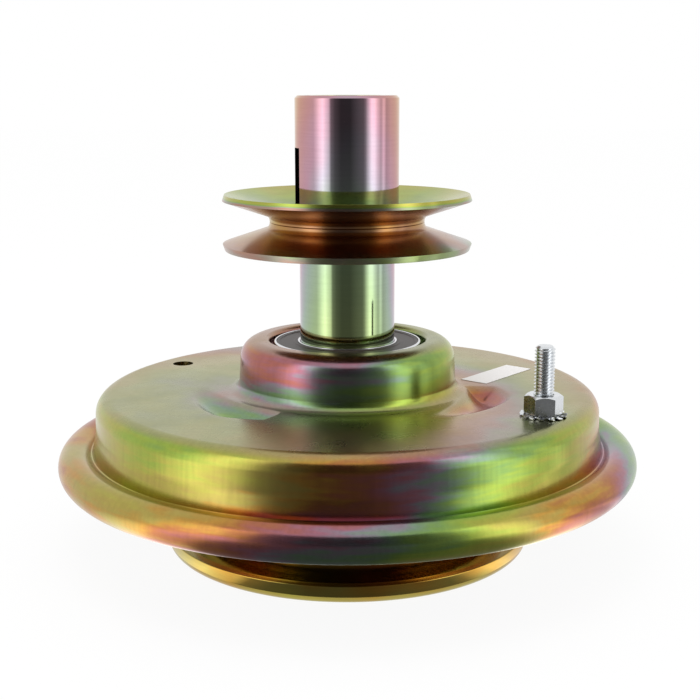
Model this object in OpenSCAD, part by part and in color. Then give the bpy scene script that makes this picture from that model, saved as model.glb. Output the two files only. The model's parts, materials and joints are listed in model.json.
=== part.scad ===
// Blade clutch for a rotary mower: a keyed hub with a belt pulley spins on the crankshaft, and a
// friction clutch under a pressed cover drives the blade carrier. Turning the cover lets a ball
// ramp brake lift off the clutch plate. Millimetres, +Z up along the crankshaft, with the origin
// on the bore axis in the face that the blade bolts to. Radii build up from the bore outwards and
// heights from that face upwards, so every piece follows the sizes inside and below it.

/* [Hub] */
// Bore that slides on the engine crankshaft
bore_d = 22.2; // [18:0.1:24]
// Width of the keyway in the bore
keyway_w = 4.8; // [3:0.1:6]
// Depth of the keyway below the bore wall
keyway_h = 2; // [1:0.1:2.4]
// Wall of the hub where the bearings sit
hub_wall = 3.9; // [3.4:0.1:5]
// Step from the bearing seat out to the collar above the pulley
collar_step = 1.2; // [0.8:0.1:2]
// Height of the collar above the pulley
collar_h = 36.7; // [28:0.1:50]
// Length of the hub below the lower bearing
hub_foot = 4; // [3.2:0.1:4.6]
// Chamfer at both ends of the hub
hub_chamfer = 0.8; // [0.4:0.1:1.5]
// Width of the key slot through the collar
slot_w = 6; // [4:0.5:8]
// Length of the key slot along the collar
slot_l = 17.9; // [12:0.1:22]
// Direction of the key slot round the hub, in degrees
slot_turn = 195; // [0:1:359]

/* [Belt pulley] */
// Height of the joint between the pulley's two pressed halves above the boss
pulley_rise = 37; // [26:0.5:44]
// Diameter over the pulley's rims
pulley_d = 78; // [72:0.5:90]
// Diameter of the groove's floor
groove_d = 48.6; // [44:0.1:54]
// Half of the groove's opening at the rims
groove_half = 6.7; // [5:0.1:8]
// Half of the groove's width at its floor
floor_half = 1.7; // [1.2:0.1:2.4]
// Thickness of the pulley's sheet
pulley_sheet = 2; // [1.2:0.1:2.4]

/* [Cover] */
// Thickness of the cover's sheet
cover_sheet = 2; // [1.2:0.1:2.4]
// Room between the bearing housing and the inside of the raised boss
boss_room = 3.3; // [2.8:0.1:5]
// Height of the upper bearing above the cover's flat top
boss_seat_h = 6.5; // [5.5:0.1:8]
// Height of the boss above the upper bearing
boss_over = 0.8; // [0.4:0.1:2]
// Radius round the top of the boss
boss_edge_r = 6; // [3:0.1:6]
// Radius at the foot of the boss
boss_foot_r = 3.4; // [1:0.1:5]
// Room between the brake plate's edge and the cover's wall
wall_room = 5.2; // [4:0.1:8]
// How much further out the wall is at its foot
wall_flare = 1; // [0:0.1:2]
// Radius of the shoulder between the flat top and the wall
shoulder_r = 5.2; // [3:0.1:7]
// Radius of the rolled rim's section
rim_bead_r = 5.65; // [4:0.05:6.5]
// Depth of the rolled rim's centre below the cover's flat top
rim_drop = 21.2; // [17:0.1:23]
// Diameter of the plain hole in the flat top
cover_hole_d = 7; // [5:0.1:9]
// Distance of the plain hole's middle from the wall
cover_hole_inset = 12.7; // [10:0.1:16]
// Direction of the plain hole, in degrees
cover_hole_turn = 149; // [140:1:155]

/* [Ball ramps] */
// Distance from the housing's flange out to the track that the balls roll on
track_room = 8.5; // [8:0.1:10]
// Depth of each ramp pocket at its deep end
ramp_depth = 5; // [3.5:0.1:6]
// Length of each ramp pocket along the track
ramp_len = 28; // [24:0.5:32]
// Width of each ramp's floor
ramp_floor_w = 7; // [5:0.5:8]
// Direction of the first ramp's middle, in degrees
ramp_turn = 87; // [60:1:120]
// Angle that the cover turns to let the brake off
cover_swing = 18; // [14:1:20]
// Diameter of the ramp balls
ramp_ball_d = 10; // [8.5:0.25:11]

/* [Bearings] */
// Diameter of the bearing balls
bearing_ball_d = 5.8; // [5:0.1:7]
// Number of balls in a bearing
bearing_balls = 12; // [8:1:14]
// Thickness of the bearing rings behind the balls
ring_back = 1.35; // [1:0.05:1.8]
// Depth of the ball track in each bearing ring
ring_shoulder = 0.55; // [0.4:0.05:0.8]
// Length of the bearing rings past the balls at each side
ring_side = 1.6; // [1.4:0.1:2.2]
// Height of the lower bearing above the carrier's floor
lower_seat_h = 5.2; // [4.4:0.1:7]

/* [Friction parts] */
// Thickness of the clutch plate
clutch_plate_t = 3; // [2.4:0.1:3.6]
// Gap between the carrier's boss and the clutch plate
clutch_gap = 0.8; // [0.6:0.1:1.5]
// Thickness of both friction linings
lining_t = 3; // [2.4:0.1:3.6]
// Travel of the clutch plate up to the drive lining
clutch_travel = 1; // [0.8:0.1:1.2]
// Thickness of the drive disc's web
drive_web_t = 3.5; // [3:0.1:4.2]
// Width of the drive lining
drive_lining_w = 13; // [8:0.5:16]
// Gap between the drive disc and the raised middle of the brake plate
bell_gap = 2.87; // [2.2:0.01:4]
// Thickness of the brake plate's sheet
brake_sheet = 2.5; // [2:0.1:3]
// Distance from the balls' track out to the brake plate's bell
bell_room = 8; // [7:0.1:10]
// Width of the brake plate's flange
brake_flange_w = 20; // [14:0.5:24]

/* [Blade carrier] */
// Thickness of the dished carrier's sheet
carrier_sheet = 2.8; // [2:0.1:3.4]
// Height of the carrier's turned-up edge
carrier_h = 5.8; // [5:0.1:8]
// Distance from the drum out to the carrier's edge
carrier_brim = 8.4; // [6:0.1:12]
// Wall of the drum that carries the clutch plate
drum_wall = 2.5; // [2:0.1:3]
// Thread diameter of the blade bolts
blade_bolt_d = 8; // [6:0.5:10]
// Gap between the blade nuts and the drum
blade_nut_gap = 1; // [0.5:0.1:2]

/* [Cable stud] */
// Thread diameter of the stud
stud_d = 6; // [5:0.5:7]
// Height of the stud above the cover's flat top
stud_h = 21; // [16:0.5:26]
// Distance of the stud's middle from the wall
stud_inset = 11.1; // [10:0.1:16]
// Direction of the stud, in degrees
stud_turn = -33; // [-45:1:-30]
// Width of the nut across its flats
nut_w = 10; // [9:0.5:12]
// Height of the nut
nut_h = 5.6; // [4:0.1:7]
// Diameter of the toothed washer
washer_d = 14; // [12:0.5:15]
// Thickness of the toothed washer
washer_t = 0.9; // [0.6:0.1:1.2]

/* [Label] */
// Length of the paper label
label_l = 28; // [20:1:32]
// Width of the paper label
label_w = 9.8; // [8:0.2:12]
// Gap between the label's corner and the foot of the boss
label_gap = 0.15; // [0.1:0.05:6]
// Direction of the label's middle, in degrees
label_dir = 18.9; // [18:0.1:24]
// Turn of the label on the flat top, in degrees
label_turn = 51; // [40:1:60]

/* [Hidden] */
$fn = 72;

// Overrun of every cut past the face that it opens
over = 1;
// Radial clearance of a running or sliding fit
run_gap = 0.05;
// Gap between two faces that turn past each other
face_gap = 0.1;
// Gap at a spring's seat
seat_gap = 0.1;
// Largest step round a bend, in degrees
bend_step = 12;

// Radii of the hub and of both bearings
bore_r = bore_d / 2;
seat_r = bore_r + hub_wall;
collar_r = seat_r + collar_step;
bearing_ball_r = bearing_ball_d / 2;
ball_track_r = seat_r + ring_back + bearing_ball_r;
bearing_r = seat_r + 2 * ring_back + bearing_ball_d;
ring_t = ring_back + ring_shoulder;
inner_land_r = seat_r + ring_t;
outer_land_r = bearing_r - ring_t;
bearing_w = bearing_ball_d + 2 * ring_side;
ball_play = 0.08;
seal_t = 0.6;
seal_inset = 0.3;
cage_t = 1.8;
cage_margin = 0.5;
ring_chamfer = 0.4;

// Radii of the housing that holds the upper bearing and guides the cover and the brake plate
housing_wall = 1.25;
housing_step_w = 4.25;
housing_flange_w = 7;
shoulder_w = 2.5;
pin_r = 2.5;
pin_inset = 4;
housing_r = bearing_r + housing_wall;
housing_body_r = housing_r + housing_step_w;
housing_flange_r = housing_body_r + housing_flange_w;
pin_circle_r = housing_flange_r - pin_inset;

// Radii of the ramps, the brake and the clutch
ramp_ball_r = ramp_ball_d / 2;
brake_eye_margin = 5;
lining_inset = 3.5;
lining_margin = 1.5;
plate_margin = 0.5;
drive_room = 1;
drive_lining_margin = 0.5;
drive_boss_step = 1.5;
spacer_step = 0.6;
track_r = housing_flange_r + track_room;
bell_r = track_r + bell_room;
brake_r = bell_r + brake_flange_w;
brake_eye_r = pin_circle_r - brake_eye_margin;
brake_lining_in_r = bell_r + lining_inset;
brake_lining_out_r = brake_r - lining_margin;
clutch_plate_r = brake_r - plate_margin;
drum_r = bell_r - brake_sheet;
drum_in_r = drum_r - drum_wall;
drive_r = drum_in_r - drive_room;
drive_lining_out_r = drive_r - drive_lining_margin;
drive_lining_in_r = drive_lining_out_r - drive_lining_w;
drive_boss_r = bearing_r - drive_boss_step;
spacer_r = inner_land_r + spacer_step;
brake_bell_bend_r = 4;
brake_foot_bend_r = 1.5;
ball_seat_r = 3.9;
ball_seat_gap = 0.05;
drum_tabs = 4;
tab_angle = 24;
tab_h = 1.6;
tab_play = 0.25;

// Radii of the blade carrier
carrier_eye_step = 2.5;
carrier_boss_w = 4.5;
clutch_eye_w = 2;
nut_land_w = 1.5;
nut_land_h = 7;
carrier_bend_r = 0.4;
carrier_eye_r = bearing_r - carrier_eye_step;
carrier_boss_r = bearing_r + carrier_boss_w;
carrier_r = drum_r + carrier_brim;
clutch_eye_r = carrier_boss_r + clutch_eye_w;
nut_land_r = blade_bolt_d / 2 + nut_land_w;
blade_bolt_r = drum_in_r - blade_nut_gap - nut_land_r;

// Radii of the cover
cover_lip_r = 2.6;
boss_draft = 0.5;
rim_foot_bend_r = 0.9;
seam_step = 0.5;
cover_eye_r = housing_r + run_gap;
boss_r = housing_body_r + boss_room + cover_sheet;
boss_foot_out_r = boss_r + boss_draft + boss_foot_r;
wall_r = brake_r + wall_room + cover_sheet;
wall_foot_r = wall_r + wall_flare;
rim_centre_r = wall_foot_r + rim_bead_r;
boss_seam_r = boss_r + boss_draft + seam_step;
wall_seam_r = wall_r - shoulder_r - seam_step;
cover_hole_r = wall_r - cover_hole_inset;
stud_r = wall_r - stud_inset;
label_lean = label_turn - label_dir;
label_r = boss_foot_out_r + label_gap + label_l / 2 * cos(label_lean) + label_w / 2 * sin(label_lean);

// Springs and snap rings
clutch_wire_r = 1.25;
clutch_coil_step = 2.2;
clutch_turns = 4;
clutch_coil_r = clutch_eye_r + clutch_coil_step;
return_wire_r = 1;
return_turns = 3;
return_coil_r = housing_body_r + boss_room / 2;
lift_wire_r = 0.5;
lift_coil_r = 2.3;
lift_turns = 4;
lift_springs_count = 3;
ramps = 3;
ramp_turns = [for (i = [0:ramps - 1]) ramp_turn + i * 360 / ramps];
circlip_t = 1.2;
circlip_groove_h = 0.7;
circlip_w = 2.6;
circlip_gap = 5;

// Heights from the blade face up to the brake plate
boss_rise = 2.2;
lower_bearing_z = carrier_sheet + lower_seat_h;
lower_bearing_top_z = lower_bearing_z + bearing_w;
hub_foot_z = lower_bearing_z - hub_foot;
boss_top = lower_bearing_top_z + boss_rise;
clutch_plate_z = boss_top + clutch_gap;
brake_lining_z = clutch_plate_z + clutch_plate_t;
brake_flange_z = brake_lining_z + lining_t + brake_sheet;
drive_lining_z = brake_lining_z + clutch_travel + run_gap;
drive_web_z = drive_lining_z + lining_t;
drive_web_top_z = drive_web_z + drive_web_t;
brake_top_z = drive_web_top_z + bell_gap + brake_sheet;

// Heights of the balls, which carry the cover's flat top
rest_lead = 2.9;
ball_rest_turn = cover_swing / 2 + rest_lead;
ball_gap = 0.12;
ramp_tilt = atan(ramp_depth / ramp_len);
ramp_rest_depth = ramp_depth / 2 + track_r * sin(ball_rest_turn) * tan(ramp_tilt);
ball_z = brake_top_z + sqrt(pow(ramp_ball_r + ball_seat_gap, 2) - pow(ball_seat_r, 2));
plate_z = ball_z + ramp_rest_depth + (cover_sheet + ramp_ball_r + ball_gap) / cos(ramp_tilt);

// Heights of the housing, the boss and the pulley
housing_drop = 2.5;
housing_flange_t = 3;
housing_step = 1;
housing_grip_share = 5 / 9;
pin_rise = 1.45;
housing_flange_z = plate_z - cover_sheet - housing_drop;
housing_foot_z = housing_flange_z - housing_flange_t;
pin_foot_z = drive_web_top_z + pin_rise;
upper_bearing_z = plate_z + boss_seat_h;
housing_step_z = upper_bearing_z - housing_step;
housing_top_z = upper_bearing_z + bearing_w * housing_grip_share;
collar_foot_z = housing_step_z + face_gap;
boss_top_z = upper_bearing_z + bearing_w + boss_over;
rim_z = plate_z - rim_drop;
pulley_z = boss_top_z + pulley_rise;
web_top_z = pulley_z + pulley_sheet;
hub_top_z = web_top_z + collar_h;
slot_foot_z = web_top_z + slot_w / 2;
groove_bend_r = 1;
floor_bend_r = 0.8;

// Cable stud
stud_head_step = 2;
thread_step = 0.3;
stud_head_h = 2.4;
stud_hole_play = 0.1;
stud_tip = 0.8;
thread_play = 0.05;
shank_r = stud_d / 2 - thread_step;
washer_teeth = 14;
washer_root_share = 0.78;
washer_play = 0.2;
label_t = 0.15;

// Colours, as seen from a step away
zinc_gold = "#a89f63";
zinc_rose = "#9c7f72";
zinc_olive = "#7f8556";
zinc_white = "#d4d7da";
steel = "#b9bcc0";
seal_brown = "#4b443f";
lining_black = "#33302d";
spring_grey = "#74787c";
cage_brown = "#b39a5c";
paper = "#e9e6e2";

// Points and outlines

function unit(v) = v / norm(v);
function right_of(v) = [v.y, -v.x];
function place(c) = [c.x, c.y];
function cross_of(a, b) = a.x * b.y - a.y * b.x;

// Points of one bend of radius rad at p1, between the legs to p0 and p2
function bend(p0, p1, p2, rad) =
    let (
        u = unit(p0 - p1),
        v = unit(p2 - p1),
        half = acos(u * v) / 2,
        fit_rad = min(rad, min(norm(p0 - p1), norm(p2 - p1)) / 2 * tan(half))
    )
    fit_rad <= 0 ? [p1] :
    let (
        c = p1 + unit(u + v) * fit_rad / sin(half),
        s = p1 + u * fit_rad / tan(half) - c,
        e = p1 + v * fit_rad / tan(half) - c,
        from = atan2(s.y, s.x),
        sweep = (atan2(e.y, e.x) - from + 540) % 360 - 180,
        steps = max(1, ceil(abs(sweep) / bend_step))
    )
    [for (i = [0:steps]) c + fit_rad * [cos(from + sweep * i / steps), sin(from + sweep * i / steps)]];

// A line through corners, each given as [r, z, bend radius], with its bends drawn
function bent(corners) = [
    for (i = [0:len(corners) - 1])
        each (i == 0 || i == len(corners) - 1
            ? [place(corners[i])]
            : bend(place(corners[i - 1]), place(corners[i]), place(corners[i + 1]), corners[i][2]))
];

// The same corners on the far side of a sheet that lies to the right of the line
function far_side(corners, sheet) = [
    for (i = [0:len(corners) - 1])
        let (
            last = len(corners) - 1,
            before = place(corners[max(i - 1, 0)]),
            here = place(corners[i]),
            after = place(corners[min(i + 1, last)]),
            a = right_of(unit(i == 0 ? after - here : here - before)),
            b = right_of(unit(i == last ? here - before : after - here)),
            to = here + (a + b) * sheet / (1 + a * b),
            leftward = cross_of(a, b) > 0
        )
        [to.x, to.y, i == 0 || i == last ? 0 : max(0, corners[i][2] + (leftward ? sheet : -sheet))]
];

function reversed(list) = [for (i = [len(list) - 1:-1:0]) list[i]];

// A pressed sheet turned about Z: its line of corners and its thickness
module pressed(corners, sheet) {
    rotate_extrude() polygon(concat(bent(corners), reversed(bent(far_side(corners, sheet)))));
}

// A plain ring
module ring(inner_r, outer_r, h) {
    difference() {
        cylinder(r = outer_r, h = h);
        translate([0, 0, -over]) cylinder(r = inner_r, h = h + 2 * over);
    }
}

// A slice of a wide disc, from -half to +half degrees about +X
module slice(half, reach, h) {
    side = reach * tan(half);
    linear_extrude(h) polygon([[0, 0], [reach, -side], [reach, side]]);
}

// A coil of round wire standing on z = 0, with its outer height h
module coil(coil_r, wire_r, turns, h, steps = 18, sides = 6) {
    rings = turns * steps;
    rise = h - 2 * wire_r;
    points = [
        for (i = [0:rings], k = [0:sides - 1])
            let (
                a = 360 * i / steps,
                b = 360 * k / sides,
                r = coil_r + wire_r * cos(b)
            )
            [r * cos(a), r * sin(a), wire_r + rise * i / rings + wire_r * sin(b)]
    ];
    skin = [
        for (i = [0:rings - 1], k = [0:sides - 1])
            let (next = (k + 1) % sides)
            [i * sides + k, i * sides + next, (i + 1) * sides + next, (i + 1) * sides + k]
    ];
    first = reversed([for (k = [0:sides - 1]) k]);
    final = [for (k = [0:sides - 1]) rings * sides + k];
    polyhedron(points, concat(skin, [first], [final]), convexity = 10);
}

// A snap ring with a gap, lying on z = 0
module circlip(inner_r, outer_r) {
    difference() {
        ring(inner_r, outer_r, circlip_t);
        translate([0, -circlip_gap / 2, -over]) cube([outer_r + over, circlip_gap, circlip_t + 2 * over]);
    }
}

// Hub and pulley

module hub_sleeve() {
    color(zinc_rose) difference() {
        rotate_extrude() polygon([
            [bore_r, hub_foot_z],
            [seat_r - hub_chamfer, hub_foot_z],
            [seat_r, hub_foot_z + hub_chamfer],
            [seat_r, web_top_z],
            [collar_r, web_top_z],
            [collar_r, hub_top_z - hub_chamfer],
            [collar_r - hub_chamfer, hub_top_z],
            [bore_r, hub_top_z]
        ]);
        rotate([0, 0, slot_turn]) {
            translate([0, -keyway_w / 2, hub_foot_z - over])
                cube([bore_r + keyway_h, keyway_w, hub_top_z - hub_foot_z + 2 * over]);
            translate([0, -slot_w / 2, slot_foot_z])
                cube([collar_r + over, slot_w, slot_l]);
        }
        translate([0, 0, lower_bearing_z - circlip_t])
            ring(seat_r - circlip_groove_h, seat_r + over, circlip_t);
    }
}

// One pressed half, with its web on z = 0 and its flange rising outwards
module pulley_half() {
    pressed([
        [pulley_d / 2, groove_half, 0],
        [groove_d / 2, floor_half, groove_bend_r],
        [groove_d / 2, 0, floor_bend_r],
        [seat_r, 0, 0]
    ], pulley_sheet);
}

module pulley_upper_half() {
    color(zinc_gold) translate([0, 0, pulley_z]) pulley_half();
}

module pulley_lower_half() {
    color(zinc_gold) translate([0, 0, pulley_z]) mirror([0, 0, 1]) pulley_half();
}

module spacer_sleeve() {
    color(steel) translate([0, 0, drive_web_top_z])
        ring(seat_r, spacer_r, upper_bearing_z - drive_web_top_z);
}

module drive_disc() {
    color(steel) union() {
        translate([0, 0, lower_bearing_top_z])
            ring(seat_r, inner_land_r, drive_web_z - lower_bearing_top_z);
        translate([0, 0, boss_top + run_gap]) ring(seat_r, drive_boss_r, drive_web_z - boss_top - run_gap);
        translate([0, 0, drive_web_z]) ring(seat_r, drive_r, drive_web_t);
    }
}

module drive_lining() {
    color(lining_black) translate([0, 0, drive_lining_z])
        ring(drive_lining_in_r, drive_lining_out_r, lining_t);
}

module hub_circlip() {
    color(spring_grey) translate([0, 0, lower_bearing_z - circlip_t])
        circlip(seat_r - circlip_groove_h, seat_r + circlip_w - circlip_groove_h);
}

// Bearings, each standing on z = 0

module ball_track() {
    translate([0, 0, bearing_w / 2]) rotate_extrude()
        translate([ball_track_r, 0]) circle(r = bearing_ball_r + ball_play, $fn = 36);
}

module bearing_inner_ring() {
    color(steel) difference() {
        rotate_extrude() polygon([
            [seat_r, 0], [inner_land_r, 0], [inner_land_r, bearing_w], [seat_r, bearing_w]
        ]);
        ball_track();
    }
}

module bearing_outer_ring() {
    color(steel) difference() {
        rotate_extrude() polygon([
            [outer_land_r, 0],
            [bearing_r - ring_chamfer, 0],
            [bearing_r, ring_chamfer],
            [bearing_r, bearing_w - ring_chamfer],
            [bearing_r - ring_chamfer, bearing_w],
            [outer_land_r, bearing_w]
        ]);
        ball_track();
    }
}

module bearing_ball_set() {
    for (i = [0:bearing_balls - 1])
        rotate([0, 0, i * 360 / bearing_balls]) translate([ball_track_r, 0, bearing_w / 2])
            sphere(r = bearing_ball_r, $fn = 32);
}

module bearing_cage() {
    cage_h = bearing_w - 2 * (seal_inset + seal_t) - cage_margin;
    color(cage_brown) difference() {
        translate([0, 0, (bearing_w - cage_h) / 2])
            ring(ball_track_r - cage_t / 2, ball_track_r + cage_t / 2, cage_h);
        for (i = [0:bearing_balls - 1])
            rotate([0, 0, i * 360 / bearing_balls])
                translate([ball_track_r - cage_t, 0, bearing_w / 2]) rotate([0, 90, 0])
                    cylinder(r = bearing_ball_r + ball_play, h = 2 * cage_t, $fn = 32);
    }
}

module bearing_seals() {
    color(seal_brown) for (z = [seal_inset, bearing_w - seal_inset - seal_t])
        translate([0, 0, z]) ring(inner_land_r + run_gap, outer_land_r, seal_t);
}

module upper_bearing_inner_ring() {
    translate([0, 0, upper_bearing_z]) bearing_inner_ring();
}

module upper_bearing_outer_ring() {
    translate([0, 0, upper_bearing_z]) bearing_outer_ring();
}

module upper_bearing_balls() {
    color(steel) translate([0, 0, upper_bearing_z]) bearing_ball_set();
}

module upper_bearing_cage() {
    translate([0, 0, upper_bearing_z]) bearing_cage();
}

module upper_bearing_seals() {
    translate([0, 0, upper_bearing_z]) bearing_seals();
}

module lower_bearing_inner_ring() {
    translate([0, 0, lower_bearing_z]) bearing_inner_ring();
}

module lower_bearing_outer_ring() {
    translate([0, 0, lower_bearing_z]) bearing_outer_ring();
}

module lower_bearing_balls() {
    color(steel) translate([0, 0, lower_bearing_z]) bearing_ball_set();
}

module lower_bearing_cage() {
    translate([0, 0, lower_bearing_z]) bearing_cage();
}

module lower_bearing_seals() {
    translate([0, 0, lower_bearing_z]) bearing_seals();
}

// Housing of the upper bearing, which stands still and guides the cover and the brake plate

module pin_places() {
    for (a = [30, 150, 270]) rotate([0, 0, a]) translate([pin_circle_r, 0, 0]) children();
}

module bearing_housing() {
    color(steel) difference() {
        rotate_extrude() polygon([
            [bearing_r - shoulder_w, housing_foot_z],
            [housing_flange_r, housing_foot_z],
            [housing_flange_r, housing_flange_z],
            [housing_body_r, housing_flange_z],
            [housing_body_r, housing_step_z],
            [housing_r, housing_step_z],
            [housing_r, housing_top_z],
            [bearing_r, housing_top_z],
            [bearing_r, upper_bearing_z],
            [bearing_r - shoulder_w, upper_bearing_z]
        ]);
        pin_places() translate([0, 0, housing_foot_z - over])
            cylinder(r = pin_r, h = housing_flange_t + 2 * over, $fn = 32);
    }
}

module guide_pins() {
    color(spring_grey) pin_places() translate([0, 0, pin_foot_z])
        cylinder(r = pin_r, h = housing_flange_z - pin_foot_z, $fn = 32);
}

module return_spring() {
    return_spring_h = housing_step_z - housing_flange_z - shoulder_w;
    color(spring_grey) translate([0, 0, housing_flange_z + seat_gap])
        coil(return_coil_r, return_wire_r, return_turns, return_spring_h);
}

// Cover

// The sheet's outer face from the boss's hole to the rolled rim, whose bead turns in steps of 45 degrees
function cover_line() =
    let (corner_r = rim_bead_r / cos(22.5))
    [
        [cover_eye_r, collar_foot_z, 0],
        [cover_eye_r, boss_top_z, cover_lip_r],
        [boss_r - boss_draft, boss_top_z, boss_edge_r],
        [boss_r + boss_draft, plate_z, boss_foot_r],
        [wall_r, plate_z, shoulder_r],
        [wall_foot_r, rim_z + rim_bead_r * (sqrt(2) - 1), rim_foot_bend_r],
        each [
            for (a = [112.5:-45:-67.5])
                [rim_centre_r + corner_r * cos(a), rim_z + corner_r * sin(a), rim_bead_r]
        ],
        [rim_centre_r - rim_bead_r * tan(22.5), rim_z - rim_bead_r, 0]
    ];

// A ramp's hollow, grown by a skin: its floor tilts along the track and its sides lean out at 45 degrees
module ramp_hollow(skin) {
    side = skin * (sqrt(2) - 1);
    inner_r = track_r - ramp_floor_w / 2 - side;
    outer_r = track_r + ramp_floor_w / 2 + side;
    lean = ramp_depth + skin;
    rise = lean + over;
    translate([0, 0, plate_z - ramp_depth / 2]) rotate([-ramp_tilt, 0, 0]) translate([0, 0, -skin])
        intersection() {
            rotate_extrude() polygon([
                [inner_r, 0], [outer_r, 0], [outer_r + lean, lean],
                [outer_r + lean, rise], [inner_r - lean, rise], [inner_r - lean, lean]
            ]);
            translate([0, -ramp_len / 2 - skin, -over])
                cube([outer_r + lean + over, ramp_len + 2 * skin, rise + 2 * over]);
        }
}

// The whole pressed cover, which is drawn in three nodes that meet at its two seams
module cover_pressing() {
    difference() {
        union() {
            pressed(cover_line(), cover_sheet);
            for (a = ramp_turns) rotate([0, 0, a]) intersection() {
                ramp_hollow(cover_sheet);
                translate([0, 0, plate_z - cover_sheet / 2 - 2 * ramp_depth])
                    cylinder(r = wall_r - shoulder_r, h = 2 * ramp_depth);
            }
        }
        for (a = ramp_turns) rotate([0, 0, a]) ramp_hollow(0);
        rotate([0, 0, cover_hole_turn]) translate([cover_hole_r, 0, plate_z - cover_sheet - over])
            cylinder(d = cover_hole_d, h = cover_sheet + 2 * over, $fn = 48);
        rotate([0, 0, stud_turn]) translate([stud_r, 0, plate_z - cover_sheet - over])
            cylinder(d = stud_d + 2 * stud_hole_play, h = cover_sheet + 2 * over, $fn = 48);
    }
}

module within(seam_r) {
    cylinder(r = seam_r, h = boss_top_z + over);
}

module cover_boss() {
    color(zinc_olive) intersection() {
        cover_pressing();
        within(boss_seam_r);
    }
}

module cover_top() {
    color(zinc_olive) difference() {
        intersection() {
            cover_pressing();
            within(wall_seam_r);
        }
        within(boss_seam_r);
    }
}

module cover_wall() {
    color(zinc_olive) difference() {
        pressed(cover_line(), cover_sheet);
        within(wall_seam_r);
    }
}

// The stud, with its thread drawn at the outer diameter above the nut and at the pitch diameter in it
module cable_stud() {
    head_z = plate_z - cover_sheet - stud_head_h;
    nut_top_z = plate_z + washer_t + nut_h;
    color(zinc_white) rotate([0, 0, stud_turn]) translate([stud_r, 0, 0]) rotate_extrude($fn = 48) polygon([
        [0, head_z],
        [stud_d / 2 + stud_head_step, head_z],
        [stud_d / 2 + stud_head_step, plate_z - cover_sheet],
        [shank_r, plate_z - cover_sheet],
        [shank_r, nut_top_z],
        [stud_d / 2, nut_top_z],
        [stud_d / 2, plate_z + stud_h - stud_tip],
        [stud_d / 2 - stud_tip, plate_z + stud_h],
        [0, plate_z + stud_h]
    ]);
}

module stud_nut() {
    corner_r = nut_w / 2 / cos(30);
    nut_edge = corner_r - nut_w / 2;
    color(zinc_white) rotate([0, 0, stud_turn]) translate([stud_r, 0, plate_z + washer_t]) difference() {
        intersection() {
            cylinder(r = corner_r, h = nut_h, $fn = 6);
            rotate_extrude($fn = 48) polygon([
                [0, 0],
                [corner_r, 0],
                [corner_r, nut_h - nut_edge],
                [nut_w / 2, nut_h],
                [0, nut_h]
            ]);
        }
        translate([0, 0, -over]) cylinder(r = shank_r + thread_play, h = nut_h + 2 * over, $fn = 48);
    }
}

module tooth_washer() {
    root_r = washer_d / 2 * washer_root_share;
    tip_half = 90 / washer_teeth;
    color(zinc_white) rotate([0, 0, stud_turn]) translate([stud_r, 0, plate_z]) difference() {
        linear_extrude(washer_t) polygon([
            for (i = [0:washer_teeth - 1], k = [-3, -1, 1, 3])
                let (
                    a = 360 * i / washer_teeth + k * tip_half / 2,
                    r = abs(k) == 1 ? washer_d / 2 : root_r
                )
                r * [cos(a), sin(a)]
        ]);
        translate([0, 0, -over])
            cylinder(d = stud_d + 2 * washer_play, h = washer_t + 2 * over, $fn = 48);
    }
}

module paper_label() {
    color(paper) translate([label_r * cos(label_dir), label_r * sin(label_dir), plate_z])
        rotate([0, 0, label_turn]) translate([-label_l / 2, -label_w / 2, 0])
            cube([label_l, label_w, label_t]);
}

// Brake plate, which the balls push down on the clutch plate

module brake_plate() {
    color(steel) difference() {
        pressed([
            [brake_eye_r, brake_top_z, 0],
            [bell_r, brake_top_z, brake_bell_bend_r],
            [bell_r, brake_flange_z, brake_foot_bend_r],
            [brake_r, brake_flange_z, 0]
        ], brake_sheet);
        pin_places() translate([0, 0, brake_top_z - brake_sheet - over])
            cylinder(r = pin_r + run_gap, h = brake_sheet + 2 * over, $fn = 32);
        for (a = ramp_turns) rotate([0, 0, a + ball_rest_turn])
            translate([track_r, 0, brake_top_z - brake_sheet - over])
                cylinder(r = ball_seat_r, h = brake_sheet + 2 * over, $fn = 48);
    }
}

module brake_lining() {
    color(lining_black) translate([0, 0, brake_lining_z])
        ring(brake_lining_in_r, brake_lining_out_r, lining_t);
}

module ramp_balls() {
    color(steel) for (a = ramp_turns) rotate([0, 0, a + ball_rest_turn])
        translate([track_r, 0, ball_z]) sphere(r = ramp_ball_r, $fn = 48);
}

module lift_springs() {
    h = housing_foot_z - brake_top_z - 2 * seat_gap;
    color(spring_grey) for (i = [0:lift_springs_count - 1])
        rotate([0, 0, 90 + i * 360 / lift_springs_count])
            translate([pin_circle_r, 0, brake_top_z + seat_gap])
                coil(lift_coil_r, lift_wire_r, lift_turns, h, steps = 12, sides = 5);
}

// Clutch plate and blade carrier

module tab_places() {
    for (i = [0:drum_tabs - 1]) rotate([0, 0, i * 360 / drum_tabs]) children();
}

module clutch_plate() {
    slot_half = tab_angle / 2 + asin(tab_play / drum_r);
    color(steel) difference() {
        translate([0, 0, clutch_plate_z]) ring(clutch_eye_r, clutch_plate_r, clutch_plate_t);
        translate([0, 0, clutch_plate_z - over]) intersection() {
            ring(drum_in_r - tab_play, drum_r + tab_play, clutch_plate_t + 2 * over);
            tab_places() slice(slot_half, 2 * drum_r, clutch_plate_t + 2 * over);
        }
    }
}

module clutch_drum() {
    drum_top_z = clutch_plate_z + clutch_plate_t + tab_h;
    color(zinc_olive) difference() {
        translate([0, 0, carrier_sheet]) ring(drum_in_r, drum_r, drum_top_z - carrier_sheet);
        translate([0, 0, clutch_plate_z]) rotate([0, 0, 180 / drum_tabs]) tab_places()
            slice(180 / drum_tabs - tab_angle / 2, 2 * drum_r, drum_top_z);
    }
}

module clutch_spring() {
    color(spring_grey) translate([0, 0, carrier_sheet + seat_gap])
        coil(clutch_coil_r, clutch_wire_r, clutch_turns, clutch_plate_z - carrier_sheet - 2 * seat_gap);
}

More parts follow.
